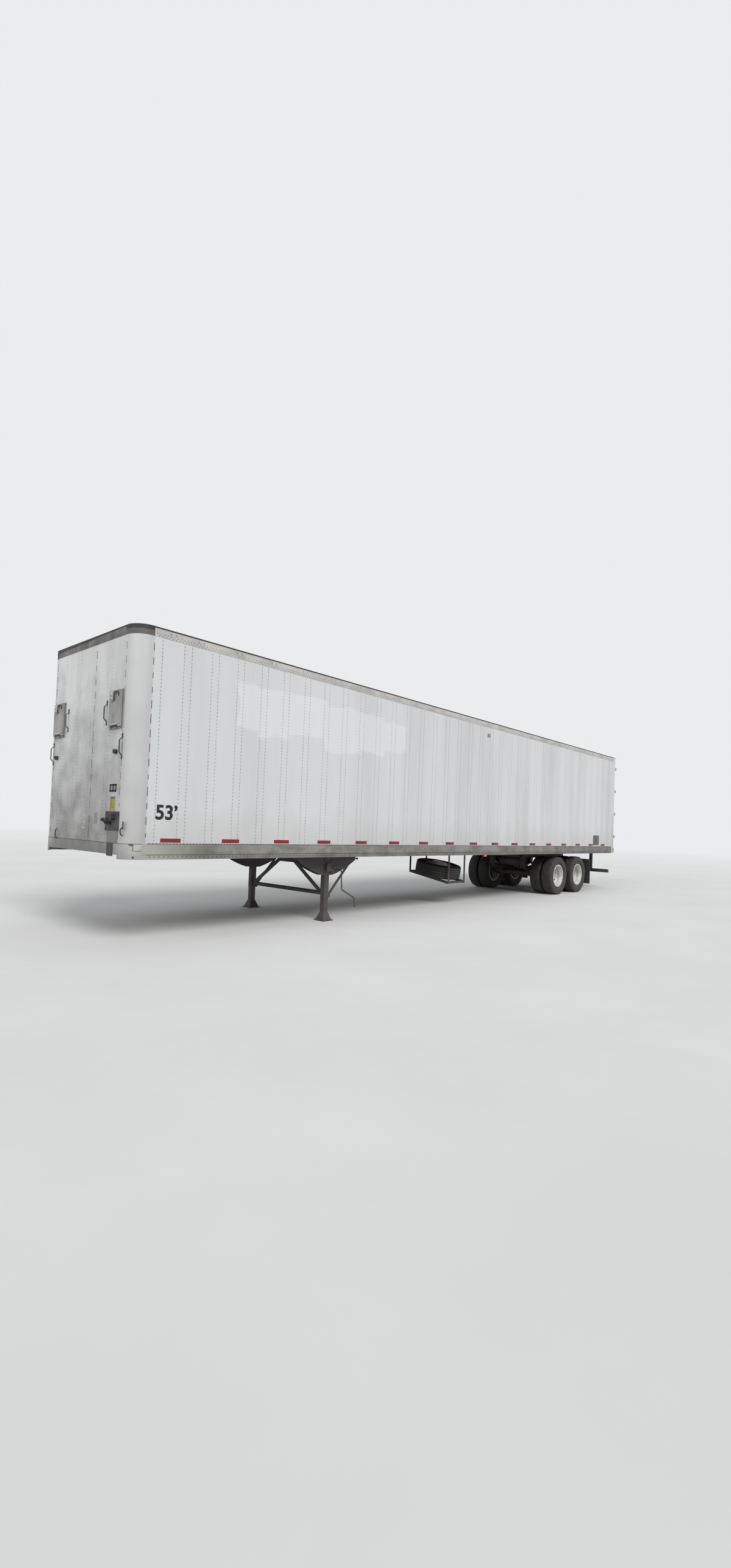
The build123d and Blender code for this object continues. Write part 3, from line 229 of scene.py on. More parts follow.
def slab(width, height, depth, corner=0.004, edge=0.0015, steps=3):
    """Plate from z = 0 to depth; its front edge is a quarter circle: inset e(1-cos a), height e sin a."""
    corner = max(corner, edge * 1.05)
    angle = np.linspace(0, np.pi / 2, 3)
    inset = np.concatenate([[0.0], edge * (1 - np.cos(angle))])
    level = np.concatenate([[0.0], depth - edge + edge * np.sin(angle)])
    outlines = [rounded_outline(width - 2 * d, height - 2 * d, corner - d, steps) for d in inset]
    return loft(np.stack([rows_of(*outline.T, z) for outline, z in zip(outlines, level)]))


# %% Tube and its bent path
def tube(path, radius, steps, side=(0, 0, 1)):
    """A circle carried along a path, square to its tangent: p + r (cos a n + sin a b)."""
    path = np.asarray(path, float)
    tangent = np.gradient(path, axis=0)
    tangent /= np.linalg.norm(tangent, axis=1)[:, None]
    normal = np.cross(tangent, side)
    normal /= np.linalg.norm(normal, axis=1)[:, None]
    across = np.cross(tangent, normal)
    angle = np.linspace(0, 2 * np.pi, steps, endpoint=False)[None, :, None]
    return loft(path[:, None] + radius * (np.cos(angle) * normal[:, None] + np.sin(angle) * across[:, None]))


def bend(corners, radius, steps=5):
    """A path through corners, each rounded: start, middle and end weights (1-t)^2, 2t(1-t), t^2."""
    corners = np.asarray(corners, float)
    before, at, after = corners[:-2], corners[1:-1], corners[2:]
    back = (before - at) / np.linalg.norm(before - at, axis=1)[:, None]
    on = (after - at) / np.linalg.norm(after - at, axis=1)[:, None]
    t = np.linspace(0, 1, steps)[None, :, None]
    first, last = (at + back * radius)[:, None], (at + on * radius)[:, None]
    rounds = first * (1 - t) ** 2 + at[:, None] * 2 * t * (1 - t) + last * t ** 2
    return np.concatenate([corners[:1], rounds.reshape(-1, 3), corners[-1:]])


# %% [markdown]
# ## Finishes as node groups
#
# A used trailer is never one flat colour. Rain draws grey streaks down the white sheet, road dirt
# fogs the lower parts, and on the nose the same low darkening is partly painted shade. Rivet lines hold
# grey bands, and bare metal goes dull. Each of these effects is used by several finishes, so each is a
# node group with named inputs, built once. The groups put out masks and heights only. The shader itself
# stays in each material. A socket knows the tree it belongs to, so a new node goes where the sockets that
# feed it are.

# %% Short ways to add nodes and groups
def is_socket(value):
    """True for a node's socket, False for a number or a colour."""
    return isinstance(value, bpy.types.NodeSocket)


def feed(socket, value):
    """Links a socket into another one, or sets a constant on it."""
    if is_socket(value):
        socket.id_data.links.new(value, socket)
    else:
        socket.default_value = value


def add_node(kind, inputs, tree=None, **options):
    """Adds a node, or one of our groups, sets its options and feeds its inputs."""
    tree = tree or next(value.id_data for value in inputs.values() if is_socket(value))
    made = tree.nodes.new("ShaderNode" + (kind if isinstance(kind, str) else "Group"))
    if not isinstance(kind, str):
        made.node_tree = kind
    for key, value in options.items():
        setattr(made, key, value)
    for key, value in inputs.items():
        feed(made.inputs[key], value)
    return made


def start_group(name, inputs, outputs):
    """A shader node group with named sockets; an input is (name, kind, start value)."""
    group = bpy.data.node_groups.new(name, "ShaderNodeTree")
    for socket_name, kind, value in inputs:
        socket = group.interface.new_socket(socket_name, in_out="INPUT", socket_type="NodeSocket" + kind)
        if value is not None:
            socket.default_value = value
    for socket_name in outputs:
        group.interface.new_socket(socket_name, in_out="OUTPUT", socket_type="NodeSocketFloat")
    return group, group.nodes.new("NodeGroupInput").outputs, group.nodes.new("NodeGroupOutput").inputs


SIGNS = {"+": "ADD", "-": "SUBTRACT", "*": "MULTIPLY", "/": "DIVIDE"}


def sums(value, *steps, clamp=False):
    """Sums from left to right on numbers and sockets: value, sign, value, sign, value and so on."""
    for sign, other in zip(steps[::2], steps[1::2]):
        operation = SIGNS.get(sign, sign)
        value = add_node("Math", {0: value, 1: other}, operation=operation, use_clamp=clamp).outputs[0]
    return value


def ramp(value, low, high, start=0.0, end=1.0, curve="LINEAR"):
    """Runs from start to end while the value runs from low to high, and stays there outside."""
    inputs = {0: value, 1: low, 2: high, 3: start, 4: end}
    return add_node("MapRange", inputs, interpolation_type=curve).outputs[0]


def noise(where, scale, detail, **more):
    """The noise texture's node at a place: its first output is a value, its second a colour."""
    return add_node("TexNoise", {"Vector": where, "Scale": scale, "Detail": detail, **more})


# %% Blotches: cloudy dirt, streaks and fine grain
blotches, given, gives = start_group(
    "blotches",
    [("Vector", "Vector", None), ("Size", "Float", 1.0), ("Stretch", "Float", 1.0), ("Cover", "Float", 0.4),
     ("Softness", "Float", 0.25)],
    ["Mask", "Fine"],
)
squeeze = add_node("CombineXYZ", {0: 1.0, 1: 1.0, 2: given["Stretch"]}).outputs[0]
spot = add_node("VectorMath", {0: given["Vector"], 1: squeeze}, operation="MULTIPLY").outputs[0]
cloud = noise(spot, sums(1.0, "/", given["Size"]), 6.0, Roughness=0.62).outputs[0]
edge_low = sums(1.0, "-", given["Cover"], "-", given["Softness"])
edge_high = sums(edge_low, "+", sums(given["Softness"], "*", 2.0))
feed(gives["Mask"], ramp(cloud, edge_low, edge_high, curve="SMOOTHSTEP"))
feed(gives["Fine"], noise(given["Vector"], 240.0, 3.0).outputs[0])

# %% Low dirt and shade: a darkening that thins out with height; road dirt, and on the nose partly painted shade
low_dirt_and_shade, given, gives = start_group(
    "low dirt and shade", [("Vector", "Vector", None), ("Foot", "Float", 0.0), ("Reach", "Float", 0.6)], ["Mask"])
level = add_node("SeparateXYZ", {0: given["Vector"]}).outputs[2]
above = sums(level, "-", given["Foot"], "/", given["Reach"])
uneven = sums(noise(given["Vector"], 2.6, 5.0).outputs[0], "-", 0.5, "*", 1.4)
feed(gives["Mask"], ramp(sums(above, "+", uneven), 0.0, 1.0, 1.0, 0.0))

# %% Line dirt: grey bands along evenly spaced rivet lines
line_dirt, given, gives = start_group(
    "line dirt",
    [("Along", "Float", 0.0), ("First", "Float", 0.0), ("Pitch", "Float", 0.4), ("Width", "Float", 0.01),
     ("Vector", "Vector", None)],
    ["Mask"],
)
from_line = sums(given["Along"], "-", given["First"])
to_line = sums(from_line, "PINGPONG", sums(given["Pitch"], "*", 0.5))
band = ramp(to_line, 0.0, given["Width"], 1.0, 0.0, curve="SMOOTHSTEP")
broken = ramp(noise(given["Vector"], 4.0, 4.0).outputs[0], 0.35, 0.65)
feed(gives["Mask"], sums(band, "*", broken))
print("groups:", [group.name for group in bpy.data.node_groups])


# %% [markdown]
# ## One recipe for painted and bare metal
#
# Paint, galvanised steel and aluminium differ in their numbers, not in their build: a clean colour, a
# dirty colour, how large the blotches are, how far rain has drawn them down, and how rough the
# surface is where it is clean and where it is dirty. So one function builds them all, and the special
# finishes lay more colours over what it returns.

# %% Worn finish
def blend_colour(mask, first, second):
    """First colour where the mask is 0, second where it is 1."""
    first, second = (colour if is_socket(colour) else (*colour, 1.0) for colour in (first, second))
    return add_node("Mix", {0: mask, 6: first, 7: second}, data_type="RGBA").outputs[2]


def new_material(name):
    """A material with its shader's inputs and the piece's own coordinates."""
    material = bpy.data.materials.new(name)
    material.use_nodes = True
    tree = material.node_tree
    where = tree.nodes.new("ShaderNodeTexCoord").outputs["Object"]
    return material, tree.nodes["Principled BSDF"], where


RUST_BROWN, RUST_SIZE, RUST_SOFTNESS = (0.11, 0.043, 0.018), 0.07, 0.06


def worn(name, clean, dirty, size, stretch, cover, rough, grain, slot=None, metallic=0.0, coat=0.0,
         dirt_and_shade_low=None, rust=0.0):
    """A finish that runs from clean to dirty in blotches, with grain, a darkening low down and rust if asked.

    The darkening low down is (foot, reach, share, colour): road dirt, and on the nose partly painted shade.
    rust is the share that is eaten. slot names the piece's usual slot.
    """
    material, shader, where = new_material(name)
    usual_slot[name] = slot
    cloud = add_node(blotches, {"Vector": where, "Size": size, "Stretch": stretch, "Cover": cover}).outputs
    colour = blend_colour(cloud["Mask"], clean, dirty)
    roughness = ramp(cloud["Mask"], 0.0, 1.0, *rough)
    if dirt_and_shade_low:
        foot, reach, share, dirt_and_shade_colour = dirt_and_shade_low
        fog = add_node(low_dirt_and_shade, {"Vector": where, "Foot": foot, "Reach": reach}).outputs["Mask"]
        fog = sums(fog, "*", share)
        colour = blend_colour(fog, colour, dirt_and_shade_colour)
        roughness = sums(roughness, "+", sums(fog, "*", 0.2), clamp=True)
    if rust:
        rust_inputs = {"Vector": where, "Size": RUST_SIZE, "Cover": rust, "Softness": RUST_SOFTNESS}
        eaten = add_node(blotches, rust_inputs).outputs["Mask"]
        colour = blend_colour(eaten, colour, RUST_BROWN)
        roughness = sums(roughness, "+", sums(eaten, "*", 0.3), clamp=True)
    bump = add_node("Bump", {"Height": cloud["Fine"], "Distance": grain, "Strength": 0.5})
    for key, value in (("Base Color", colour), ("Roughness", roughness), ("Normal", bump.outputs[0]),
                       ("Metallic", metallic), ("Coat Weight", coat)):
        feed(shader.inputs[key], value)
    return material


# %% Lay more over a finish
def lay_over(material, mask, colour, share=None):
    """Lays a colour over the finish where the mask is 1, or a share of it."""
    socket = material.node_tree.nodes["Principled BSDF"].inputs["Base Color"]
    mask = mask if share is None else sums(mask, "*", share)
    feed(socket, blend_colour(mask, socket.links[0].from_socket, colour))


def own_space(material):
    """The piece's own coordinates: the vector, and its x, y and z."""
    where = material.node_tree.nodes.new("ShaderNodeTexCoord").outputs["Object"]
    return where, *add_node("SeparateXYZ", {0: where}).outputs


def inside_box(x, z, centre_x, half_x, centre_z, half_z, fade=0.05):
    """1 inside a box on a wall, 0 outside, with a soft edge: the smaller of two edge distances."""
    gap_x = sums(half_x, "-", sums(sums(x, "-", centre_x), "ABSOLUTE", 0.0))
    gap_z = sums(half_z, "-", sums(sums(z, "-", centre_z), "ABSOLUTE", 0.0))
    return ramp(sums(gap_x, "MINIMUM", gap_z), -fade / 2, fade / 2)


# %% [markdown]
# ## The white sheet of the walls
#
# The walls are thin painted aluminium sheet riveted to posts. The white has gone chalky and grey. Two
# things are special on the sides: the rivet lines hold dirt, and there is a paler field high up, where
# large graphics were taken off and the paint under them had stayed fresh. The field has no letters in
# it. It is six overlapping boxes with edges moved about by noise.

# %% White finish of the sides
post_pitch = 0.4375
first_pair_x = seam_x - 0.500
rivet_half_gap = 0.057
side_white = worn("side white paint", (0.57, 0.58, 0.58), (0.46, 0.465, 0.46), 1.1, 0.12, 0.40, (0.38, 0.55),
                  0.00015, coat=0.08, dirt_and_shade_low=(1.30, 0.55, 0.30, (0.33, 0.32, 0.29)))
where, along, _, height = own_space(side_white)
for half_gap in (-rivet_half_gap, rivet_half_gap):
    lines = add_node(line_dirt, {"Along": along, "First": first_pair_x + half_gap, "Pitch": post_pitch,
                                 "Width": 0.016, "Vector": where}).outputs["Mask"]
    lay_over(side_white, lines, (0.27, 0.27, 0.26), 0.30)

wobble = add_node("SeparateXYZ", {0: noise(where, 2.4, 5.0).outputs["Color"]}).outputs
moved_x = sums(along, "+", sums(wobble[0], "-", 0.5, "*", 0.34))
moved_z = sums(height, "+", sums(wobble[1], "-", 0.5, "*", 0.26))
# Each box: its centre along the wall, half its length, its centre's height and half its height
field_boxes = ((6.26, 0.22, 3.35, 0.32), (5.78, 0.28, 3.29, 0.37), (5.12, 0.42, 3.36, 0.33),
               (4.30, 0.45, 3.25, 0.38), (3.56, 0.35, 3.30, 0.35), (2.91, 0.35, 3.31, 0.25))
field = inside_box(moved_x, moved_z, *field_boxes[0])
for box_numbers in field_boxes[1:]:
    field = sums(field, "MAXIMUM", inside_box(moved_x, moved_z, *box_numbers))
lay_over(side_white, field, (0.68, 0.685, 0.68), 0.45)

# %% White finishes of the nose, the doors and the sill
# The nose darkens strongly towards the bottom: partly exhaust soot, partly painted shade.
nose_white = worn("nose white paint", (0.60, 0.605, 0.60), (0.46, 0.46, 0.45), 0.7, 0.16, 0.42, (0.42, 0.62),
                  0.0002, coat=0.05, dirt_and_shade_low=(1.10, 2.5, 0.88, (0.165, 0.162, 0.154)))
_, _, across, height = own_space(nose_white)
# A darker patch under the connection plate: painted shade and an oil stain.
lay_over(nose_white, inside_box(across, height, 0.915, 0.165, 1.375, 0.090), (0.085, 0.083, 0.080), 0.55)
door_white = worn("door white paint", (0.57, 0.58, 0.575), (0.42, 0.42, 0.40), 0.6, 0.2, 0.42, (0.4, 0.6),
                  0.0002, coat=0.05, dirt_and_shade_low=(1.15, 1.3, 0.5, (0.26, 0.24, 0.21)))
# The corner white is a darker copy of the nose white: painted shade against the light it gets from both suns.
# Its darkening low down is partly soot, partly painted shade.
corner_white_with_painted_shade = worn("nose corner white paint", (0.49, 0.495, 0.49), (0.41, 0.41, 0.40), 0.7, 0.14, 0.42,
                    (0.42, 0.62), 0.0002, coat=0.05, dirt_and_shade_low=(1.10, 2.3, 0.42, (0.25, 0.245, 0.235)))

arc_x = nose_x - (side_y - seam_y)
sill_radius = rail_y - seam_y
wrap_edge = math.radians(32)
wrap_edge_x = arc_x + sill_radius * math.sin(wrap_edge)
sill_white = worn("sill paint", (0.52, 0.52, 0.51), (0.30, 0.29, 0.27), 0.25, 0.7, 0.46, (0.45, 0.75), 0.0004,
                  dirt_and_shade_low=(1.10, 0.22, 0.6, (0.18, 0.17, 0.155)))
_, ahead, across, _ = own_space(sill_white)
# Darker towards the middle of the sill: painted shade, partly grime.
sill_middle_shade = ramp(sums(across, "ABSOLUTE", 0.0), seam_y - 0.20, seam_y + 0.15, 0.72, 0.0)
past_wrap = ramp(ahead, wrap_edge_x - 0.002, wrap_edge_x + 0.002, 0.0, 0.34)
lay_over(sill_white, past_wrap, (0.27, 0.262, 0.245))
lay_over(sill_white, sill_middle_shade, (0.105, 0.102, 0.097))
print("white finishes:", len(usual_slot))

# %% [markdown]
# ## Rails, roof and header
#
# The rails are bare aluminium that has gone beige and grey, scraped along the lower one. The header
# over the nose was painted dark and has weathered to grey-brown. The roof is plain thin sheet.

# %% Finishes of the rails and the header
rail_metal = worn("weathered rail aluminium and painted shade", (0.265, 0.253, 0.228), (0.135, 0.124, 0.108), 0.35, 1.6, 0.46,
                  (0.45, 0.75), 0.0005, metallic=0.25, dirt_and_shade_low=(1.10, 0.10, 0.45, (0.10, 0.095, 0.085)))
_, along, _, _ = own_space(rail_metal)
lay_over(rail_metal, ramp(along, seam_x - 0.95, seam_x - 0.05, 0.0, 0.75), (0.43, 0.415, 0.375))
# Darker towards the back: partly painted shade, partly weathering.
lay_over(rail_metal, ramp(along, 0.0, -7.5, 0.0, 0.40), (0.085, 0.080, 0.072))
top_metal = worn("weathered top rail", (0.50, 0.485, 0.455), (0.34, 0.32, 0.29), 0.30, 2.0, 0.44, (0.45, 0.7),
                 0.0004, metallic=0.1)
lay_over(top_metal, ramp(own_space(top_metal)[3], roof_z - 0.022, roof_z - 0.018), (0.030, 0.029, 0.028))
header_paint = worn("weathered header paint", (0.170, 0.160, 0.146), (0.078, 0.073, 0.067), 0.25, 0.8, 0.5,
                    (0.5, 0.8), 0.0006, slot="wall_paint")
_, _, across, height = own_space(header_paint)
on_corner = ramp(sums(across, "ABSOLUTE", 0.0), seam_y - 0.05, seam_y)
lay_over(header_paint, on_corner, (0.040, 0.038, 0.036), 0.55)
strip_foot = sums(ramp(across, -1.0, 0.95, 0.072, 0.106), "-", sums(on_corner, "*", 0.036))
above_foot = sums(height, "-", eave_z, "-", strip_foot)
lay_over(header_paint, ramp(above_foot, -0.003, 0.003), (0.020, 0.020, 0.021))
print("finishes so far:", len(bpy.data.materials))

# %% Other metal finishes
roof_metal = worn("roof sheet", (0.52, 0.52, 0.51), (0.36, 0.36, 0.35), 0.9, 1.0, 0.45, (0.35, 0.6), 0.0002,
                  "roof_sheet", metallic=0.6)
sealant = worn("dark sealant", (0.035, 0.034, 0.033), (0.09, 0.088, 0.082), 0.12, 1.0, 0.4, (0.6, 0.9),
               0.0008, "header_paint")
rivet_metal = worn("dirty rivets", (0.26, 0.26, 0.25), (0.13, 0.125, 0.115), 0.18, 0.6, 0.5, (0.45, 0.8),
                   0.0003, "wall_paint", metallic=0.2)
# The nose rivets darken towards the bottom with the nose: partly soot, partly painted shade.
rivet_pale = worn("nose rivets", (0.38, 0.38, 0.37), (0.20, 0.195, 0.18), 0.10, 0.8, 0.44, (0.5, 0.8), 0.0003,
                  "wall_paint", dirt_and_shade_low=(1.10, 2.4, 0.90, (0.095, 0.092, 0.086)))
vent_metal = worn("ventilator grey", (0.31, 0.305, 0.295), (0.20, 0.193, 0.183), 0.16, 0.5, 0.45, (0.4, 0.65),
                  0.0003, "vent_metal", metallic=0.25)
zinc = worn("galvanised steel", (0.50, 0.505, 0.50), (0.37, 0.36, 0.345), 0.09, 1.0, 0.44, (0.32, 0.6),
            0.0003, "zinc_steel", metallic=0.6, rust=0.27)
bare_steel = worn("worn bare steel", (0.36, 0.35, 0.33), (0.16, 0.14, 0.12), 0.2, 1.0, 0.5, (0.3, 0.65),
                  0.0005, "bare_steel", metallic=0.85, rust=0.42)
chassis_black = worn("chassis black paint", (0.022, 0.022, 0.023), (0.06, 0.056, 0.05), 0.18, 0.7, 0.44,
                     (0.45, 0.85), 0.0006, dirt_and_shade_low=(0.0, 1.3, 0.30, (0.12, 0.108, 0.092)), rust=0.36)
beam_grey = worn("crossmember grey", (0.11, 0.112, 0.113), (0.06, 0.056, 0.05), 0.25, 1.0, 0.5, (0.5, 0.8),
                 0.0005, metallic=0.3, rust=0.38)
spring_steel = worn("spring steel", (0.05, 0.047, 0.045), (0.10, 0.07, 0.05), 0.06, 1.0, 0.5, (0.5, 0.85),
                    0.0006, metallic=0.4, rust=0.44)
hub_iron = worn("cast hub iron", (0.10, 0.085, 0.072), (0.05, 0.042, 0.036), 0.05, 1.0, 0.5, (0.55, 0.85),
                0.0012, "hub_iron", metallic=0.4, rust=0.46)
wheel_white = worn("wheel white paint", (0.58, 0.575, 0.56), (0.30, 0.28, 0.25), 0.12, 1.0, 0.40, (0.4, 0.75),
                   0.0005, coat=0.05, rust=0.33)
plate_metal = worn("dull plate", (0.30, 0.30, 0.295), (0.17, 0.165, 0.16), 0.12, 0.6, 0.46, (0.4, 0.65),
                   0.0003, "plate_metal", metallic=0.5)
inlet_grey = worn("connection plate grey", (0.060, 0.059, 0.057), (0.032, 0.031, 0.030), 0.10, 0.8, 0.48,
                  (0.6, 0.85), 0.0003, "plate_metal")
front_only = ramp(own_space(inlet_grey)[1], nose_x + 0.005, nose_x + 0.009)
lay_over(inlet_grey, front_only, (0.022, 0.022, 0.022))
print("finishes so far:", len(bpy.data.materials))

# %% [markdown]
# ## Rubber, wood, tape and lamps
#
# The last finishes are plain ones. The tyres are black with brown road dust. The floor is made of
# narrow hardwood strips, which a brick pattern lays out end to end. The safety tape is deep red and
# shows a fine honeycomb, and the lamps have ribbed red or amber lenses.

# %% Rubber, paint and label finishes
rubber_black = worn("black rubber", (0.020, 0.020, 0.020), (0.055, 0.052, 0.048), 0.10, 1.0, 0.44, (0.6, 0.9),
                    0.0008, "black_rubber")
tyre_black = worn("tyre rubber", (0.017, 0.017, 0.018), (0.050, 0.046, 0.040), 0.16, 1.0, 0.46, (0.62, 0.92),
                  0.0008, "tyre_rubber", dirt_and_shade_low=(0.0, 0.5, 0.35, (0.085, 0.075, 0.062)))
handle_black = worn("black handle paint", (0.020, 0.020, 0.020), (0.05, 0.048, 0.046), 0.05, 0.3, 0.42,
                    (0.35, 0.7), 0.0004, "black_rubber", rust=0.33)
digit_black = worn("black vinyl", (0.005, 0.005, 0.006), (0.016, 0.016, 0.016), 0.10, 0.3, 0.40, (0.70, 0.85),
                   0.0001, "black_rubber")
yellow_label = worn("faded yellow label", (0.30, 0.215, 0.026), (0.21, 0.155, 0.034), 0.05, 0.3, 0.44,
                    (0.45, 0.7), 0.0001, "plate_metal")
pale_label = worn("pale label border", (0.30, 0.28, 0.155), (0.23, 0.21, 0.130), 0.05, 0.3, 0.44, (0.45, 0.7),
                  0.0001, "plate_metal")
grey_label = worn("faded grey label", (0.38, 0.38, 0.38), (0.28, 0.28, 0.275), 0.05, 0.3, 0.46, (0.45, 0.7),
                  0.0001, "plate_metal")
dark_plate = worn("dark plate", (0.075, 0.073, 0.072), (0.14, 0.135, 0.13), 0.06, 0.3, 0.44, (0.4, 0.65),
                  0.0002, "plate_metal", metallic=0.3)
print("finishes so far:", len(bpy.data.materials))

# %% Wood, tape and lenses
floor_wood = worn("hardwood floor", (0.30, 0.19, 0.105), (0.19, 0.125, 0.075), 0.5, 0.3, 0.45, (0.5, 0.8),
                  0.0006)
where = own_space(floor_wood)[0]
strips = add_node("TexBrick", {"Vector": where, "Scale": 1.0, "Mortar Size": 0.0012, "Mortar Smooth": 0.2,
                               "Brick Width": 1.1, "Row Height": 0.032, "Color1": (0, 0, 0, 1),
                               "Color2": (1, 1, 1, 1), "Mortar": (0, 0, 0, 1)}, offset=0.37).outputs
along_grain = add_node("VectorMath", {0: where, 1: (1.5, 38.0, 1.0)}, operation="MULTIPLY").outputs[0]
grain_bands = noise(along_grain, 1.6, 4.0).outputs[0]
lay_over(floor_wood, strips["Color"], (0.36, 0.235, 0.13), 0.45)
lay_over(floor_wood, ramp(grain_bands, 0.50, 0.70, 0.0, 0.5), (0.14, 0.088, 0.050))
lay_over(floor_wood, strips["Fac"], (0.03, 0.022, 0.016))


def shade(colour, share):
    """A darker colour of the same hue."""
    return tuple(part * share for part in colour)


def taped(name, colour, slot):
    """Reflective tape: a plain strong colour under a clear coat, with a honeycomb of tiny cells."""
    material = worn(name, colour, shade(colour, 0.6), 0.09, 0.3, 0.42, (0.4, 0.6), 0.0001, slot, coat=0.10)
    cells = add_node("TexVoronoi", {"Vector": own_space(material)[0], "Scale": 260.0, "Randomness": 0.0},
                     feature="DISTANCE_TO_EDGE").outputs[0]
    lay_over(material, ramp(cells, 0.0, 0.12, 0.35, 0.0), shade(colour, 0.35))
    return material


def lensed(name, colour):
    """Lamp lens: clear-coated coloured plastic whose height is a wave of upright ribs."""
    material = worn(name, colour, shade(colour, 0.5), 0.03, 0.3, 0.36, (0.15, 0.35), 0.0001, "lamp_red",
                    coat=0.6)
    ribs = add_node("TexWave", {"Vector": own_space(material)[0], "Scale": 60.0}, bands_direction="Y")
    nodes = material.node_tree.nodes
    ribbed = add_node("Bump", {"Height": ribs.outputs["Fac"], "Distance": 0.0012, "Strength": 0.6,
                               "Normal": nodes["Bump"].outputs[0]}).outputs[0]
    feed(nodes["Principled BSDF"].inputs["Normal"], ribbed)
    return material


red_tape = taped("red reflective tape", (0.22, 0.007, 0.012), "lamp_red")
white_tape = taped("white reflective tape", (0.62, 0.62, 0.60), "wall_paint")
lens_red = lensed("red lens", (0.36, 0.012, 0.012))
lens_amber = lensed("amber lens", (0.62, 0.20, 0.02))
print("finishes:", len(bpy.data.materials))

# %% [markdown]
# ## Give the model its finishes
#
# The model's own pieces stay where they are. Only the material in each one's slot changes. Whatever the
# table doesn't name is chassis, and gets the chassis black.

# %% Cover every node of the model
wheel_ends = ("front_left", "front_right", "rear_left", "rear_right")


def at_wheels(kind):
    """The names of one kind of node at all four wheel ends."""
    return " ".join(f"{kind}_{end}" for end in wheel_ends)


finishes = {
    side_white: "side_wall_left side_wall_right",
    nose_white: "front_wall",
    corner_white_with_painted_shade: "front_corners",
    sill_white: "nose_sill",
    door_white: "rear_door_left rear_door_right rear_frame",
    rail_metal: "bottom_rails",
    top_metal: "top_rails",
    header_paint: "nose_header",
    roof_metal: "roof_panel",
    floor_wood: "floor_deck",
    beam_grey: "crossmembers",
    bare_steel: "coupler_plate kingpin",
    zinc: "door_hardware_left door_hardware_right",
    spring_steel: "leaf_springs",
    vent_metal: "vent_frames vent_door_left vent_door_right",
    inlet_grey: "connection_plate",
    rubber_black: "rubber_bumpers mud_flaps",
    handle_black: "grab_handles",
    lens_red: "lamps",
    tyre_black: "spare_tyre " + at_wheels("tyres"),
    wheel_white: "spare_rim " + at_wheels("rims"),
    hub_iron: at_wheels("hub"),
}
named = set(" ".join(finishes.values()).split())
finishes[chassis_black] = " ".join(sorted(set(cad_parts) - named))
for material, nodes in finishes.items():
    for node in nodes.split():
        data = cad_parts[node].data
        data.materials.clear()
        data.materials.append(material)
print("left to chassis black:", finishes[chassis_black])

# %% [markdown]
# ## Rivets in their thousands
#
# Every post stands behind two upright rivet lines, and the rails have rows of their own. Each rivet is
# a six-sided button, because there are thousands of them. One button is worked out once, and its copies
# are placed by adding an array of places. No rivet stands under a tape strip or a plate.

# %% Rivet rows on the sides
rivet = lathe([(0.0072, 0.0), (0.0042, 0.0030)], 6)
wide_rivet = lathe([(0.0088, 0.0), (0.0060, 0.0034)], 6)
rivet_step, foot_row_step = 0.050, 0.068
tape_length, tape_height, tape_z = 0.300, 0.055, deck_z + 0.050
tape_first, tape_pitch = seam_x - 0.360, 0.914
tape_x = np.append([tape_first, tape_first - 0.956], tape_first - 1.906 - tape_pitch * np.arange(15))
plate_x, plate_z, plate_length, plate_height = -6.720, 1.490, 0.440, 0.290


def on_grid(first_values, second_values):
    """All pairs of two lists of coordinates, as two flat arrays."""
    a, b = np.meshgrid(np.asarray(first_values, float), np.asarray(second_values, float), indexing="ij")
    return a.ravel(), b.ravel()


def on_side(shape, x, z, y, side):
    """The shape at each (x, z) of the side face y, facing outwards."""
    return stand(shape, rows_of(x, side * y, z), (0, side, 0))


def under_cover(x, z):
    """True where a rivet would stand under a tape strip or the low side plate."""
    at_tape = (np.abs(x[:, None] - tape_x) < tape_length / 2 + 0.008).any(1)
    on_tape = at_tape & (np.abs(z - tape_z) < tape_height / 2 + 0.006)
    return on_tape | ((np.abs(x - plate_x) < plate_length / 2) & (np.abs(z - plate_z) < plate_height / 2))


pair_count = int((first_pair_x - wall_low.x - 0.15) / post_pitch) + 1
pair_x = first_pair_x - post_pitch * np.arange(pair_count)
post_lines = np.concatenate([[seam_x - 0.118], pair_x - rivet_half_gap, pair_x + rivet_half_gap])
post_x, post_z = on_grid(post_lines, np.arange(deck_z + 0.045, eave_z - 0.02, rivet_step))
bare = ~under_cover(post_x, post_z)
rail_x = np.arange(wall_low.x + 0.04, seam_x - 0.03, rivet_step)
foot_row_x = np.arange(wall_low.x + 0.04, seam_x - 0.03, foot_row_step)
for name, side in SIDES:
    put_piece(f"side_rivets_{name}", on_side(rivet, post_x[bare], post_z[bare], side_y, side), rivet_metal)
    rows = [on_side(rivet, rail_x, rail_high.z + 0.011, side_y, side),
            on_side(wide_rivet, foot_row_x, rail_low.z + 0.036, rail_y - 0.004, side)]
    put_piece(f"lower_rail_rivets_{name}", rows, sealant)
    rows = [on_side(rivet, rail_x + offset, level, rail_y, side)
            for level, offset in ((eave_z + 0.014, 0.0), (eave_z + 0.040, 0.025))]
    put_piece(f"top_rail_rivets_{name}", rows, rivet_metal)

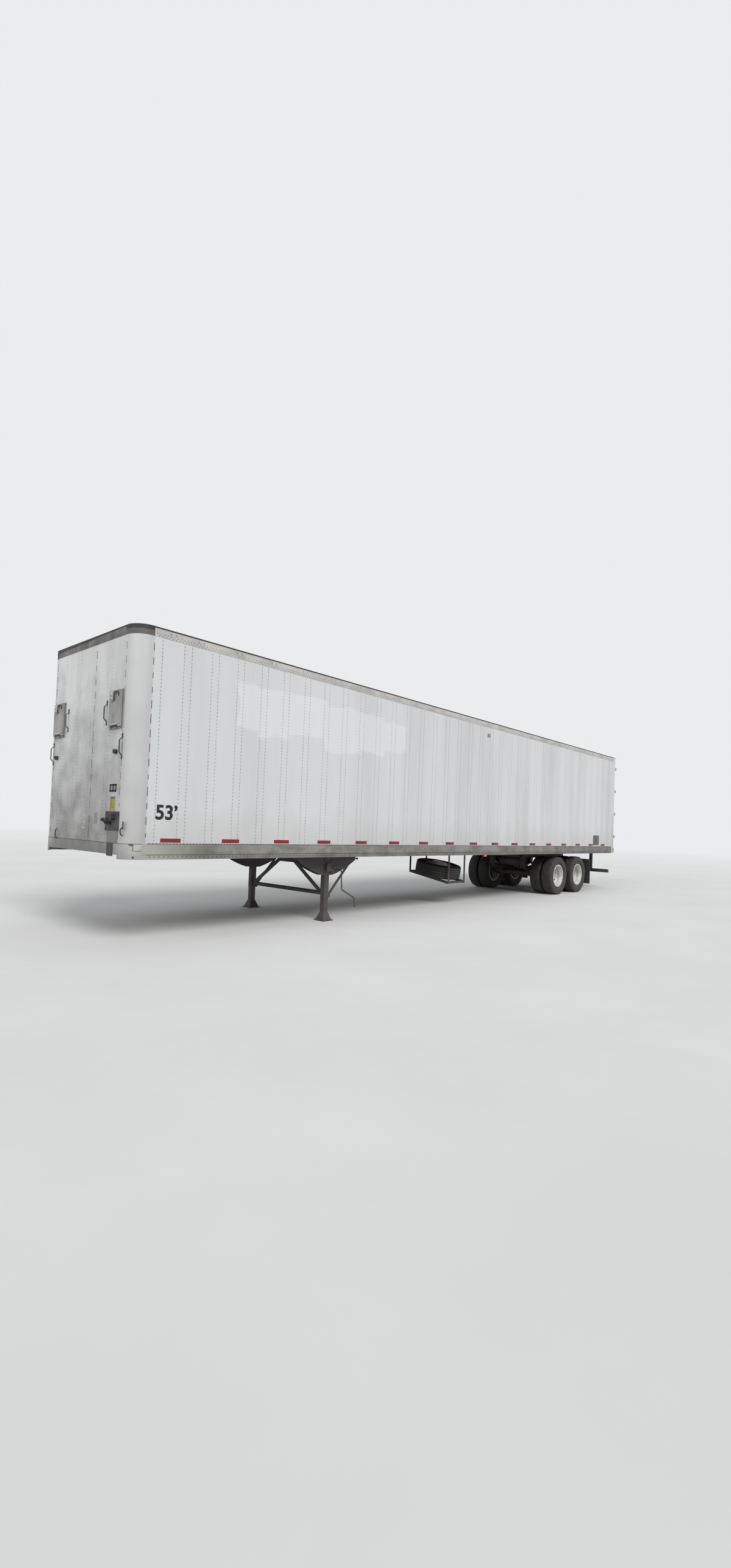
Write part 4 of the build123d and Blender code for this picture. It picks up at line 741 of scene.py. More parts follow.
# %% Rivet rows on the nose
nose_pair_y, nose_half_gap, edge_line_y = 0.170 + 0.477 * np.arange(-2, 2), 0.052, seam_y - 0.045
nose_lines = np.concatenate([nose_pair_y - nose_half_gap, nose_pair_y + nose_half_gap,
                             [edge_line_y, -edge_line_y]])
nose_y, nose_z = on_grid(nose_lines, np.arange(deck_z + 0.05, eave_z - 0.02, rivet_step))
vent_low, vent_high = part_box("vent_frames")
plate_low, plate_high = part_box("connection_plate")
margin, vent_inner, vent_outer = 0.02, 0.71, 1.06
for low_y, high_y, low_z, high_z in (
        (vent_inner, vent_outer, vent_low.z, vent_high.z),
        (-vent_outer, -vent_inner, vent_low.z, vent_high.z),
        (plate_low.y - margin, plate_high.y + margin, plate_low.z, plate_high.z)):
    covered = (nose_y > low_y) & (nose_y < high_y) & (nose_z > low_z - margin) & (nose_z < high_z + margin)
    nose_y, nose_z = nose_y[~covered], nose_z[~covered]
header_y = np.arange(-seam_y + 0.03, seam_y, rivet_step * 1.5)
put_piece("nose_rivets", stand(rivet, rows_of(nose_x, nose_y, nose_z), FORWARD), rivet_pale)
header_places = rows_of(nose_x + 0.003, header_y, eave_z + 0.022)
put_piece("header_rivets", stand(rivet, header_places, FORWARD), header_paint)

# %% [markdown]
# ## Seams
#
# Where sheets overlap, old dark sealant shows between the rivets as a broken upright line. The corner
# seams and one seam in the nose sheet show it best. Each line is a row of thin slabs of slightly
# different lengths. The random numbers are seeded, so the row is the same on each run.

# %% Broken sealant lines
chance = np.random.default_rng(53)


def broken_seam(x, y, axis, mean=0.100, width=0.009, pitch=0.187):
    """Upright dashes from deck to eave: dash k is a slab of length mean (1 + noise) at low + k pitch."""
    levels = np.arange(deck_z + 0.02 + pitch / 2, eave_z - pitch / 3, pitch)
    lengths = mean * chance.uniform(0.55, 1.25, len(levels))
    return merge(*(stand(slab(width, length, 0.0012, 0.003, 0.0006, 2), (x, y, level), axis,
                         np.cross((0, 0, 1), axis)) for level, length in zip(levels, lengths)))


corner_seams = [broken_seam(seam_x, side * side_y, (0, side, 0)) for side in (1, -1)]
corner_seams += [broken_seam(nose_x, side * seam_y, FORWARD) for side in (1, -1)]
corner_seams.append(broken_seam(nose_x, 0.222, FORWARD, mean=0.115, width=0.012))
put_piece("corner_seams", corner_seams, sealant)

# %% [markdown]
# ## Roof edge and header trim
#
# A thin black sealant bead runs along the roof edge, all the way round. Below it on each side the top
# rail has pairs of dark drain holes. The bead is a tube whose path follows the sides and the rounded
# corners of the nose.

# %% Roof bead and drain holes
edge_y = top_high.y - 0.002
bend_angle = np.linspace(0, np.pi / 2, 12)
bead_corner = (arc_x, seam_y) + (edge_y - seam_y) * np.column_stack([np.sin(bend_angle), np.cos(bend_angle)])
bead_side = np.vstack([[frame_low.x + 0.01, edge_y], bead_corner])
bead_path = np.vstack([bead_side, (bead_side * (1, -1))[::-1]])
put_piece("roof_edge_bead", tube(rows_of(*bead_path.T, roof_z - 0.0045), 0.0042, 6), sealant)

hole_first, hole_pitch, hole_half_gap = seam_x - 0.27, 0.64, 0.040
hole_count = int((hole_first - wall_low.x - 0.6) / hole_pitch) + 1
hole_pairs = np.append(hole_first, hole_first - 0.422 - hole_pitch * np.arange(hole_count))
hole_x = np.append(hole_pairs - hole_half_gap, hole_pairs + hole_half_gap)
hole = lathe([(0.0075, 0.0), (0.0075, 0.0006), (0.0068, 0.0010)], 10)
holes = [on_side(hole, hole_x, eave_z + 0.072, rail_y, side) for side in (1, -1)]
put_piece("drain_holes", holes, sealant)

# %% [markdown]
# ## Safety tape
#
# Deep red reflective strips of one length run along each side just above the lower rail. They stand
# evenly apart, but for the first two gaps, which are a little wider. The back carries red and white
# ones on the guard and the doors, and a pair of white corners at the top. Each strip is a slab less than
# a millimetre thick.

# %% Tape strips on the sides
strip = slab(tape_length, tape_height, 0.0009, 0.002, 0.0004, 2)
put_piece("side_tape", [on_side(strip, tape_x, tape_z, side_y, side) for side in (1, -1)], red_tape)

# %% [markdown]
# ## Tyres
#
# A trailer tyre rolls without driving, so its tread is plain ribs between straight grooves, with short
# cuts in the shoulders. The model keeps the tyre as a smooth ring. The one drawn here has the same
# width and radius, and stands in for it in pictures. It is a surface over two parameters: the angle
# round the wheel, and the way across the section. The angles aren't evenly spaced: four of them lie
# close together at each shoulder cut, so the cuts are sharp though the tyre has few faces.

# %% Tyre surface
tyre_low, tyre_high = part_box("tyres_front_left")
TYRE_RADIUS, TYRE_WIDTH, BEAD_RADIUS, SHOULDER_CUTS = (tyre_high.z - tyre_low.z) / 2, 0.295, 0.286, 72


def tyre_section():
    """Half a section, tread middle to bead and inside: (distance from the middle, radius, is it cut)."""
    r, w, groove, depth = TYRE_RADIUS, TYRE_WIDTH / 2, 0.006, 0.013
    points = [(0.0, r, 0)]
    for centre, drop in ((0.030, 0.0004), (0.078, 0.0018)):
        points += [(centre - groove, r - drop, 0), (centre - groove * 0.6, r - depth, 0),
                   (centre + groove * 0.6, r - depth, 0), (centre + groove, r - drop, 0)]
    # Each pair: how far inside the tyre's width, and how far inside its radius
    wall = [(0.040, 0.0035), (0.024, 0.008), (0.017, 0.016), (0.0125, 0.034), (0.009, 0.050), (0.0045, 0.075),
            (0.001, 0.100), (0.0, 0.118), (0.003, 0.142), (0.010, 0.160), (0.012, 0.164), (0.009, 0.169),
            (0.016, 0.182), (0.030, 0.198)]
    points += [(w - inwards, r - drop, int(1 <= k <= 3)) for k, (inwards, drop) in enumerate(wall)]
    # Each pair: a distance from the middle, and how far outside the bead
    inside = [(0.104, 0.016), (0.104, 0.002), (0.080, 0.002), (0.088, 0.040), (0.108, 0.100), (0.104, 0.165)]
    points += [(across, BEAD_RADIUS + rise, 0) for across, rise in inside]
    return np.array(points + [(0.070, r - 0.030, 0)])


def tyre(x, y, z):
    """Tyre on an axle along y: point = (x + r cos a, y + across, z + r sin a); cuts lower the shoulder."""
    half = tyre_section()
    across, radius, cut = np.vstack([half, (half * (-1, 1, 1))[:0:-1]]).T
    turn = np.arange(SHOULDER_CUTS)[:, None] * (2 * np.pi / SHOULDER_CUTS)
    angle = (turn + np.array([0.0, 0.002, 0.014, 0.016])).reshape(-1, 1)
    in_cut = np.tile([0.0, 1.0, 1.0, 0.0], SHOULDER_CUTS)[:, None]
    radius = radius - 0.009 * in_cut * cut
    across = across - 0.006 * in_cut * cut * np.sign(across)
    rings = np.stack([x + radius * np.cos(angle), y + across, z + radius * np.sin(angle)], -1)
    return loft(rings, loop=True)


# %% Turn faces outwards, and find a box's middle
def face_outwards(piece):
    """Turns every face the same way, outwards."""
    work = bmesh.new()
    work.from_mesh(piece.data)
    bmesh.ops.recalc_face_normals(work, faces=work.faces)
    work.to_mesh(piece.data)
    work.free()


def middle_of(low, high):
    """The middle of a box."""
    return (np.array(low) + np.array(high)) / 2


# %% A pair of tyres for each wheel set, and the spare
wheel_centres = {}
for end in wheel_ends:
    low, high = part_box(f"tyres_{end}")
    x, y, z = wheel_centres[end] = middle_of(low, high)
    offset = (high.y - low.y) / 2 - TYRE_WIDTH / 2
    pair = [tyre(x, y - offset, z), tyre(x, y + offset, z)]
    piece = put_piece(f"treaded_tyres_{end}", pair, tyre_black, body=f"wheels_{end}")
    face_outwards(piece)
    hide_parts(f"tyres_{end}")

spare_low, spare_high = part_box("spare_tyre")
spare_tilt = math.radians(10)
spare_axis = np.array([0.0, math.sin(spare_tilt), math.cos(spare_tilt)])
spare_side = np.array([0.0, math.cos(spare_tilt), -math.sin(spare_tilt)])
flat_points, tyre_faces = tyre(0.0, 0.0, 0.0)
flat_x, flat_y, flat_z = flat_points.T[:, :, None]
spare_points = middle_of(spare_low, spare_high) + flat_y * spare_axis + flat_x * FORWARD + flat_z * spare_side
piece = put_piece("treaded_spare_tyre", (spare_points, tyre_faces), tyre_black)
face_outwards(piece)
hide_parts("spare_tyre")

# %% [markdown]
# ## Wheel nuts and hub caps
#
# Ten nuts hold each pair of discs on its hub. Each is a hexagonal nut on a round flange, with the stud's
# end standing out of it. The hub ends in an oil-filled cap with a raised middle, held by six small bolts.

# %% Nuts and hub caps
flange = lathe([(0.0215, 0.0), (0.0215, 0.003), (0.0190, 0.0045)], 12)
hexagon = lathe([(0.0185, 0.004), (0.0185, 0.022), (0.0160, 0.0255)], 6)
stud = lathe([(0.0105, 0.025), (0.0105, 0.033), (0.0085, 0.035)], 10)
nut = merge(flange, hexagon, stud)
small_bolt = lathe([(0.0075, 0.0), (0.0075, 0.006), (0.0060, 0.0075)], 6)
hub_cap = lathe([(0.0600, 0.0), (0.0600, 0.004), (0.0560, 0.007), (0.0500, 0.008), (0.0465, 0.006),
                 (0.0300, 0.006), (0.0280, 0.011), (0.0140, 0.012)], 32)
nut_circle, bolt_circle = 0.1429, 0.070


def wheel_ring(count, radius, centre, out, start=0.0):
    """Places on a circle about a wheel's axle: centre + (r cos a, out, r sin a)."""
    angle = np.arange(count) * 2 * np.pi / count + start
    return rows_of(centre[0] + radius * np.cos(angle), centre[1] + out, centre[2] + radius * np.sin(angle))


for end in wheel_ends:
    centre = wheel_centres[end]
    side = 1 if centre[1] > 0 else -1
    hub_low, hub_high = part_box(f"hub_{end}")
    hub_y = hub_high.y if side > 0 else hub_low.y
    outwards = (0, side, 0)
    nuts = stand(nut, wheel_ring(10, nut_circle, centre, side * 0.011, np.pi / 10), outwards)
    put_piece(f"wheel_nuts_{end}", nuts, hub_iron, body=f"wheels_{end}")
    bolts = stand(small_bolt, wheel_ring(6, bolt_circle, centre, side * 0.0965), outwards)
    cap = stand(hub_cap, (centre[0], hub_y - side * 0.001, centre[2]), outwards)
    put_piece(f"hub_cap_{end}", [bolts, cap], zinc, body=f"wheels_{end}")

# %% [markdown]
# ## Details of the nose
#
# Each ventilator leaf has a bright latch bar beside a dark slotted strap, and a hinge tube at its foot.
# The latch rides on the leaf, so it swings down with it. Blank labels stay where the real trailer has
# its stickers: a yellow one over the connection plate, a framed one above it, and a few faded grey ones.

# %% Ventilator leaves
def on_nose(width, height, depth, y, z, out=0.0, corner=0.004, edge=0.0008):
    """A slab on the nose, centred on (y, z), its back face standing out by a distance."""
    return stand(slab(width, height, depth, corner, edge), (nose_x + out, y, z), FORWARD)


BOLT_HEAD = [(0.0085, 0.0), (0.0085, 0.0045), (0.0070, 0.0060)]
round_bolt, plain_bolt = lathe(BOLT_HEAD, 8), lathe(BOLT_HEAD, 6)
hinge_roll = lathe([(0.0108, 0.0), (0.0120, 0.0012), (0.0120, 0.1588), (0.0108, 0.160)], 14)
leaf_thickness, housing_depth, strap_depth, latch_offset = 0.022, 0.026, 0.012, 0.052
for name in ("left", "right"):
    leaf_low, leaf_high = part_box(f"vent_door_{name}")
    body = f"vent_{name}"
    face = leaf_low.x + leaf_thickness - nose_x
    middle = (leaf_low.y + leaf_high.y) / 2
    top, foot = leaf_high.z - 0.014, leaf_high.z - 0.474
    latch_y, latch_z = middle - latch_offset, top - 0.060
    border = [on_nose(0.292, 0.010, 0.0025, middle, z, face) for z in (foot + 0.035, leaf_high.z - 0.008)]
    border += [on_nose(0.010, 0.440, 0.0025, middle + y, foot + 0.252, face) for y in (-0.146, 0.146)]
    put_piece(f"vent_leaf_rim_{name}", border, vent_metal, body=body)
    bright = [on_nose(0.050, 0.118, 0.002, latch_y, latch_z, face + housing_depth)]
    bright += [stand(slab(housing_depth - 0.004, 0.116, 0.0015, 0.003),
                     (nose_x + face + housing_depth / 2, latch_y + side * 0.026, latch_z), (0, side, 0))
               for side in (-1, 1)]
    put_piece(f"vent_latch_bar_{name}", bright, zinc, body=body)
    dark = [on_nose(0.045, 0.119, 0.0015, middle + 0.001, latch_z, face + strap_depth, 0.003),
            on_nose(0.083, 0.021, 0.0015, middle + 0.066, top - 0.011, face + strap_depth, 0.003),
            on_nose(0.020, 0.052, 0.008, middle + 0.096, top - 0.040, face, 0.003)]
    bolt_x = nose_x + (face + housing_depth + 0.002)
    dark.append(stand(round_bolt, [(bolt_x, latch_y, top - drop) for drop in (0.060, 0.106)], FORWARD))
    put_piece(f"vent_latch_strap_{name}", dark, rubber_black, body=body)
    hinge = stand(hinge_roll, (nose_x + face + 0.002, middle - 0.080, foot + 0.032), (0, 1, 0))
    put_piece(f"vent_hinge_tube_{name}", hinge, zinc, body=body)
    # A dark strip under the hinge tube: painted shadow.
    shadow = on_nose(0.190, 0.024, 0.004, middle, foot + 0.008, face - 0.001, 0.003)
    put_piece(f"vent_hinge_painted_shadow_{name}", shadow, rubber_black, body=body)

# %% Labels on the nose
LABEL_EDGE, FRAME_EDGE = 0.0003, 0.0008
# Each row: width, height, thickness, and the centre's y and z
for name, finish, edge, label_rows in (
        ("yellow_label_border", pale_label, LABEL_EDGE, [(0.155, 0.192, 0.0006, 0.880, 1.806)]),
        ("yellow_label", yellow_label, LABEL_EDGE, [(0.118, 0.146, 0.0012, 0.880, 1.818)]),
        ("yellow_label_cap", dark_plate, LABEL_EDGE, [(0.112, 0.024, 0.0016, 0.880, 1.881)]),
        ("label_frame", digit_black, FRAME_EDGE,
         [(0.184, 0.022, 0.003, 0.874, z) for z in (1.970, 2.048)]
         + [(0.024, 0.100, 0.003, y, 2.009) for y in (0.794, 0.874, 0.954)]),
        ("dull_labels", plate_metal, LABEL_EDGE,
         [(0.176, 0.092, 0.0008, 0.874, 2.009), (0.108, 0.155, 0.0007, 0.421, 1.612)]),
        ("faded_labels", grey_label, LABEL_EDGE,
         [(0.120, 0.032, 0.0007, 0.060, 1.640), (0.080, 0.028, 0.0007, 0.050, 1.545),
          (0.110, 0.024, 0.0007, 0.055, 1.470)])):
    put_piece(name, [on_nose(*numbers, edge=edge) for numbers in label_rows], finish)

# %% Bolts, strip plate, couplings and hooks on the nose
vent_bolt_feet = ((0.600, 2.842), (1.066, 2.374))
bolt_places = [(nose_x + 0.004, y, z) for y in (plate_low.y + 0.020, plate_high.y - 0.020)
               for z in (plate_low.z + 0.020, plate_high.z - 0.020)]
bolt_places += [(nose_x + 0.007, side * station, low + rise) for side in (1, -1)
                for station, low in vent_bolt_feet for rise in (0.020, 0.313)]
put_piece("nose_bolts", stand(round_bolt, bolt_places, FORWARD), handle_black)
put_piece("lower_strip_plate", on_nose(0.170, 0.165, 0.003, 0.865, 1.2125, 0.0032, edge=0.001), inlet_grey)

socket_ring = lathe([(0.0385, 0.0), (0.0385, 0.004), (0.0340, 0.006), (0.0300, 0.006), (0.0290, 0.002)], 24)
put_piece("socket_rim", stand(socket_ring, (nose_x + 0.060, 0.950, 1.630), FORWARD), handle_black)
seal_ring = lathe([(0.0215, 0.0), (0.0215, 0.0015), (0.0160, 0.003), (0.0120, 0.003), (0.0110, 0.0008)], 20)
seals = [stand(seal_ring, (plate_high.x - 0.024, y + side * 0.020, 1.595), (0, side, 0))
         for y in (0.765, 0.855) for side in (1, -1)]
put_piece("coupling_seals", seals, rubber_black)


def hook(y, low, high, reach):
    """A bent rod standing off the nose: its path leaves the wall, runs down and curls back."""
    path = bend([(nose_x - 0.002, y, high), (nose_x + reach, y, high - 0.01), (nose_x + reach, y, low + 0.03),
                 (nose_x + reach * 0.4, y, low), (nose_x - 0.002, y, low + 0.004)], 0.02)
    return tube(path, 0.0085, 8, side=(0, 1, 0))


hooks = [hook(1.172, 1.400, 1.500, 0.026), hook(-0.797, 1.290, 1.430, 0.030)]
put_piece("line_hooks", hooks + [on_nose(0.030, 0.100, 0.004, 1.186, 1.531)], handle_black)

# %% [markdown]
# ## Lower corner wraps
#
# The foot of each front corner is wrapped in a separate plate. A dark joint runs level round it, and
# the step between nose sheet and sill shows as a dark line across the front.

# %% Joints round the sill
sill_low, sill_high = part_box("nose_sill")


def sill_arc(level, first, last, steps=26):
    """Points on the sill's corner arc between two angles from the side: centre + r (sin a, cos a)."""
    angle = np.linspace(first, last, steps)
    return rows_of(arc_x + sill_radius * np.sin(angle), seam_y + sill_radius * np.cos(angle), level)


sill_start = math.asin((sill_low.x + 0.003 - arc_x) / sill_radius)
joint_z = deck_z - 0.001
top_joint = np.vstack([sill_arc(joint_z, sill_start, np.pi / 2), (sill_high.x, 0.0, joint_z)])
level_joint = sill_arc(1.2120, sill_start, wrap_edge)
joints = [tube(path * (1, side, 1), 0.0028, 6) for path in (top_joint, level_joint) for side in (1, -1)]
# Each dab of sealant: its angle from the side in degrees, width, height and level
for degrees, width, height, level in ((32, 0.008, 0.084, 1.255), (35, 0.026, 0.024, 1.284),
                                      (41, 0.026, 0.018, 1.288), (31, 0.022, 0.026, 1.130)):
    angle = math.radians(degrees)
    at = sill_arc(level, angle, angle, 1)[0]
    for side in (1, -1):
        normal = (math.sin(angle), side * math.cos(angle), 0.0)
        dab = slab(width, height, 0.0012, 0.0015, 0.0006, 2)
        joints.append(stand(dab, at * (1, side, 1), normal, np.cross((0, 0, 1), normal)))
put_piece("sill_joints", joints, sealant)

# %% Dark joint and painted ledge shadow on the lower rails
rail_line_start, rail_line_end = frame_high.x + 0.01, seam_x - 0.02
# The first line is painted shadow under the lower rail's ledge, the second the dark joint between side sheet
# and rail.
rail_lines = [on_side(slab(rail_line_end - rail_line_start, width, 0.0008, 0.002, 0.0003, 2),
                   [(rail_line_start + rail_line_end) / 2], z, y, side)
           for side in (1, -1)
           for width, y, z in ((0.0100, rail_y - 0.004, rail_low.z + 0.0685 - 0.0055),
                               (0.0080, side_y, rail_high.z + 0.0045))]
put_piece("rail_joint_and_ledge_shadow", rail_lines, sealant)

# %% [markdown]
# ## The length mark
#
# A trailer's length is marked near its nose in plain black figures, here for 53 feet. Blender's text
# makes the outline. It is turned into a mesh, and its points are then laid on the wall as an array: the
# text's own x runs backwards along the roadside and forwards along the other side.

# %% Figures on both sides
def figures_mesh(text, thickness):
    """Text as a plain mesh, then its points and faces as arrays."""
    curve = bpy.data.curves.new("length_mark", "FONT")
    curve.body = text
    curve.offset = 0.028
    curve.extrude = thickness / 2
    holder = new_object("length_mark", curve)
    made = bpy.data.meshes.new_from_object(holder.evaluated_get(bpy.context.evaluated_depsgraph_get()))
    bpy.data.objects.remove(holder)
    points = np.empty(len(made.vertices) * 3)
    made.vertices.foreach_get("co", points)
    return points.reshape(-1, 3), [list(face.vertices) for face in made.polygons]


mark_points, mark_faces = figures_mesh("53\u2019", 0.0008)
mark_length, mark_height, mark_depth, mark_foot = 0.315, 0.200, 0.0009, 1.618
low_corner, high_corner = mark_points.min(0), mark_points.max(0)
along, upwards, outwards = ((mark_points - low_corner) / (high_corner - low_corner)).T
for name, side in SIDES:
    x = seam_x - 0.127 - mark_length * (along if side > 0 else 1 - along)
    points = rows_of(x, side * (side_y + mark_depth * outwards), mark_foot + mark_height * upwards)
    mesh = bpy.data.meshes.new(f"length_mark_{name}")
    mesh.from_pydata(points.tolist(), [], mark_faces)
    mesh.materials.append(digit_black)
    piece = new_object(f"length_mark_{name}", mesh)
    face_outwards(piece)
    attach(piece, "trailer")
print("figures:", len(mark_faces), "faces each side")

# %% [markdown]
# ## Details of the back
#
# The two doors close on dark rubber seals, and their hinge straps and rod guides are bolted on. The
# sill carries round red lamps in rubber rings, the top corners have white tape, and the doors and the
# guard have red and white tape in turns. The number plate is blank.

# %% Door seals and bolts
def on_back(width, height, depth, y, z, corner=0.003, edge=0.0008):
    """A slab on the back of the trailer, facing backwards."""
    return stand(slab(width, height, depth, corner, edge), (back_x, y, z), BACKWARD)


strap_levels, strap_bolts = (1.620, 2.330, 3.040, 3.750), (0.060, 0.130, 0.210, 0.290)
rod_y, guide_half = (0.330, 0.930), 0.0235
guide_screw = lathe([(0.006, 0.0), (0.006, 0.003), (0.0045, 0.004)], 6)
for name, side in SIDES:
    door_low, door_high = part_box(f"rear_door_{name}")
    inner, outer = sorted((abs(door_low.y), abs(door_high.y)))
    middle_y, middle_z = side * (inner + outer) / 2, (door_low.z + door_high.z) / 2
    long_seal, tall_seal = outer - inner - 0.01, door_high.z - door_low.z - 0.05
    seals = [on_back(long_seal, 0.022, 0.005, middle_y, z) for z in (door_low.z + 0.014, door_high.z - 0.014)]
    seals += [on_back(0.022, tall_seal, 0.005, side * y, middle_z) for y in (inner + 0.012, outer - 0.012)]
    put_piece(f"door_seal_{name}", seals, rubber_black, body=f"door_{name}")
    bolt_places = [(back_x - 0.010, side * (outer - reach), height + rise) for height in strap_levels
                   for reach in strap_bolts for rise in (-0.018, 0.018)]
    guide_y, guide_z = on_grid([y + step for y in rod_y for step in (-guide_half, guide_half)],
                               (door_low.z + 0.102, middle_z - 0.0115, door_high.z - 0.102))
    guides = stand(guide_screw, rows_of(back_x - 0.042, side * guide_y, guide_z), BACKWARD)
    bolts = stand(plain_bolt, bolt_places, BACKWARD)
    put_piece(f"door_bolts_{name}", [bolts, guides], zinc, body=f"door_{name}")

# %% Lamps at the back and sides, and the number plate
tail_lamp_z, side_lamp_x, side_lamp_z = 1.170, -0.4465, 1.085
lamp_places = [(back_x, side * y, tail_lamp_z) for side in (1, -1) for y in (1.090, 0.820, 0.690)]
lamp_rim = lathe([(0.060, 0.0), (0.060, 0.008), (0.0565, 0.0115), (0.0505, 0.0115), (0.0505, 0.0)], 32)
lamp_dome = lathe([(0.0495, 0.012), (0.0495, 0.0150), (0.046, 0.0175), (0.030, 0.0195), (0.006, 0.0200)], 32)
put_piece("tail_lamp_rings", stand(lamp_rim, lamp_places, BACKWARD), rubber_black)
put_piece("tail_lamp_lenses", stand(lamp_dome, lamp_places, BACKWARD), lens_red)
amber_dome = slab(0.088, 0.032, 0.0060, 0.012, 0.004)
ambers = [on_side(amber_dome, [side_lamp_x], side_lamp_z, rail_y, side) for side in (1, -1)]
put_piece("side_lamp_lenses", ambers, lens_amber)
number_y, number_z = 0.300, 1.190
put_piece("blank_number_plate", on_back(0.305, 0.152, 0.002, number_y, number_z, 0.012), grey_label)
screw_places = [(back_x - 0.002, number_y + y, number_z + z) for y in (-0.09, 0.09) for z in (-0.062, 0.062)]
put_piece("number_plate_screws", stand(round_bolt, screw_places, BACKWARD), zinc)

# %% Tape at the back
guard_low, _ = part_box("impact_guard")
guard_tape_z, door_tape_z = 0.530, 1.352
guard_strip = slab(0.178, 0.050, 0.0008, 0.001, 0.0003, 2)
guard_places = rows_of(guard_low.x, np.arange(-1.08, 1.09, 0.18), guard_tape_z)
whites = [stand(guard_strip, guard_places[::2], BACKWARD)]
door_strip = slab(0.118, 0.048, 0.0006, 0.001, 0.0002)
for name, side in SIDES:
    for colour, finish, stations in (("red", red_tape, (0.105, 0.445, 0.685, 1.045)),
                                     ("white", white_tape, (0.225, 0.565, 0.805, 1.165))):
        strips = stand(door_strip, rows_of(back_x, side * np.array(stations), door_tape_z), BACKWARD)
        put_piece(f"door_tape_{colour}_door_{name}", strips, finish, body=f"door_{name}")
    whites.append(on_back(0.300, 0.048, 0.0008, side * 1.120, 4.062, 0.001, 0.0003))
    whites.append(on_back(0.048, 0.300, 0.0008, side * 1.268, 3.900, 0.001, 0.0003))
put_piece("rear_tape_red", stand(guard_strip, guard_places[1::2], BACKWARD), red_tape)
put_piece("rear_tape_white", whites, white_tape)

# %% [markdown]
# ## Small things low down
#
# The side has a dark blank plate low near the back and a small faded one under the eave. Bolts hold the
# wing plates of the landing gear and the mud flaps. They are few, so they can be rounder than rivets.

# %% Side plates, landing gear bolts and flap bolts
for name, width, height, depth, x, z, finish in (
        ("side_plate_low", plate_length, plate_height, 0.0015, plate_x, plate_z, dark_plate),
        ("side_plate_high", 0.130, 0.090, 0.0012, -0.437, 3.800, plate_metal)):
    put_piece(name, on_side(slab(width, height, depth, 0.003, 0.0008), [x], z, side_y, 1), finish)

wing_low, wing_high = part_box("landing_wings")
wing_bolt = lathe([(0.0130, 0.0), (0.0130, 0.009), (0.0110, 0.0115)], 6)
leg_x, leg_half = 4.2935, 0.085
upper_row = on_grid(np.linspace(wing_low.x + 0.09, wing_high.x - 0.09, 8), (wing_high.z - 0.035,))
leg_rows = on_grid((leg_x - leg_half, leg_x + leg_half), wing_low.z + np.array([0.045, 0.150, 0.255]))
wing_bolts = [on_side(wing_bolt, x, z, wing_high.y, side)
              for side in (1, -1) for x, z in (upper_row, leg_rows)]
put_piece("wing_bolts", wing_bolts, hub_iron)

flap_low, flap_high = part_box("mud_flaps")
flap_z = flap_high.z - 0.030
flap_bar = slab(0.560, 0.040, 0.005, 0.004, 0.0015)
flap_bolt_y = np.linspace(0.76, 1.23, 5)
bolt_places = rows_of(flap_low.x - 0.005, np.append(flap_bolt_y, -flap_bolt_y), flap_z)
put_piece("flap_bolts", stand(round_bolt, bolt_places, BACKWARD), zinc, body="bogie")
flap_bars = stand(flap_bar, [(flap_low.x, side * 0.995, flap_z) for side in (1, -1)], BACKWARD)
put_piece("flap_bars", flap_bars, bare_steel, body="bogie")

# %% [markdown]
# ## Roof bows and their rivets
#
# The roof is one thin sheet on cross bows. It is riveted only round its edge, and over each bow the
# sheet shows a faint straight ridge. A low rounded strip, less than a millimetre high, gives that ridge.

# %% Roof ridges and edge rivets
roof_low, roof_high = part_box("roof_panel")
bow_x = np.arange(roof_low.x + 0.40, roof_high.x - 0.35, 0.610)
half_turn = np.linspace(0, np.pi, 7)
ridge_half_width, ridge_height, ridge_end = 0.030, 0.0008, 1.255
ridge = loft(np.stack([rows_of(ridge_half_width * np.cos(half_turn), y, ridge_height * np.sin(half_turn))
                       for y in (-ridge_end, ridge_end)]))
put_piece("roof_ridges", stand(ridge, rows_of(bow_x, 0.0, roof_z - 0.0009)), roof_metal)
edge_x = np.arange(roof_low.x + 0.05, seam_x, 0.075)
roof_rivet = lathe([(0.0060, 0.0), (0.0040, 0.0009)], 6)
places = np.vstack([rows_of(edge_x, y, roof_z - 0.0010) for y in (1.277, -1.277)])
put_piece("roof_edge_rivets", stand(roof_rivet, places), rivet_metal, slot="roof_sheet")

# %% [markdown]
# ## Floor and light
#
# The trailer stands on a pale studio floor. Far from it the floor fades into the background colour, but
# only for rays that come straight from the camera, so the fading changes no light on the trailer. One
# wide soft sun lights the roadside and the top, a weaker one the nose, and the world fills the rest.

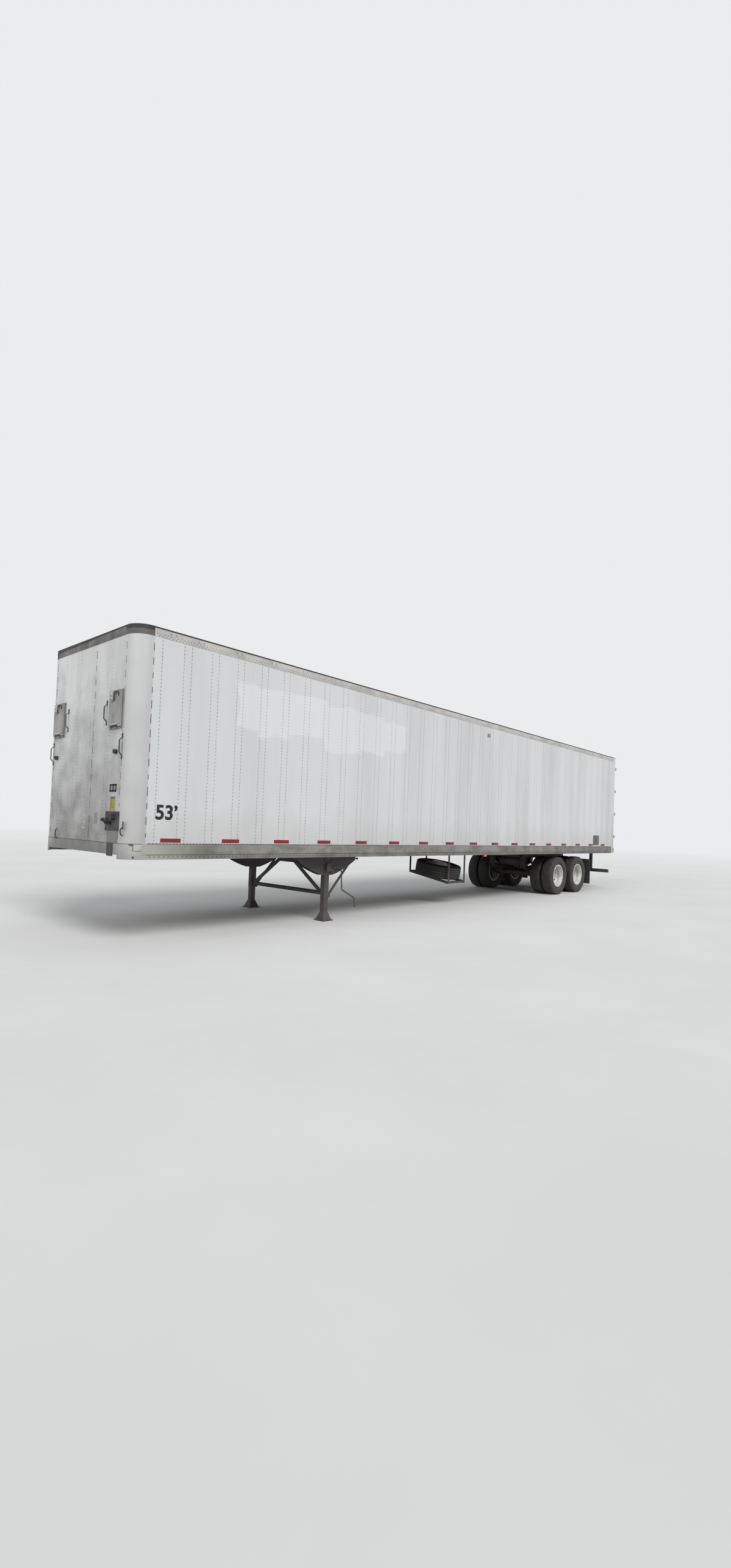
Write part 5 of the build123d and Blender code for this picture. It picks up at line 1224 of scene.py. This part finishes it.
# %% Floor
BACKGROUND = (0.83, 0.84, 0.85, 1.0)
around = 96
floor_angle = np.linspace(0, 2 * np.pi, around, endpoint=False)
floor_rings = np.stack([rows_of(r * np.cos(floor_angle), r * np.sin(floor_angle), 0.0)
                        for r in (400.0, 60.0, 20.0, 0.5)])
floor_points, floor_faces = loft(floor_rings, caps=False)
middle_face = list(range(3 * around, 4 * around))
floor_mesh = bpy.data.meshes.new("studio_floor")
floor_mesh.from_pydata(floor_points.tolist(), [], floor_faces[0].tolist() + [middle_face])
studio_floor = new_object("studio_floor", floor_mesh)

floor_paint, shader, where = new_material("studio floor")
cloud = add_node(blotches, {"Vector": where, "Size": 2.5, "Cover": 0.5, "Softness": 0.4}).outputs["Mask"]
feed(shader.inputs["Base Color"], blend_colour(cloud, (0.60, 0.60, 0.59), (0.54, 0.54, 0.53)))
feed(shader.inputs["Roughness"], 0.85)
distance = add_node("VectorMath", {0: where}, operation="LENGTH").outputs["Value"]
tree = floor_paint.node_tree
seen = add_node("LightPath", {}, tree).outputs["Is Camera Ray"]
glow = add_node("Emission", {"Color": BACKGROUND, "Strength": 1.0}, tree).outputs[0]
far = sums(ramp(distance, 14.0, 70.0), "*", seen)
fade = add_node("MixShader", {0: far, 1: shader.outputs[0], 2: glow}).outputs[0]
feed(tree.nodes["Material Output"].inputs["Surface"], fade)
floor_mesh.materials.append(floor_paint)
print("floor faces:", len(floor_mesh.polygons))

# %% World and lamps
world = bpy.data.worlds.new("studio")
bpy.context.scene.world = world
world.use_nodes = True
tree = world.node_tree
fill = tree.nodes["Background"]
feed(fill.inputs["Color"], (0.93, 0.96, 1.0, 1.0))
feed(fill.inputs["Strength"], 0.55)
backdrop = add_node("Background", {"Color": BACKGROUND}, tree)
path = add_node("LightPath", {}, tree).outputs
show = sums(path["Is Camera Ray"], "MAXIMUM", path["Is Glossy Ray"])
both = add_node("MixShader", {0: show, 1: fill.outputs[0], 2: backdrop.outputs[0]}).outputs[0]
feed(tree.nodes["World Output"].inputs["Surface"], both)


def add_sun(name, towards, strength, width_degrees):
    """A sun lamp shining along a direction; a wide one has soft shadows."""
    lamp = bpy.data.lights.new(name, "SUN")
    lamp.energy = strength
    lamp.angle = math.radians(width_degrees)
    new_object(name, lamp).rotation_euler = Vector(towards).to_track_quat("-Z", "Y").to_euler()


add_sun("main_sun", (-0.25, -0.75, -0.85), 2.3, 30)
add_sun("nose_sun", (-0.9, -0.1, -0.5), 0.9, 40)
bpy.context.scene.view_settings.view_transform = "Standard"
print("added triangles:", total_triangles)
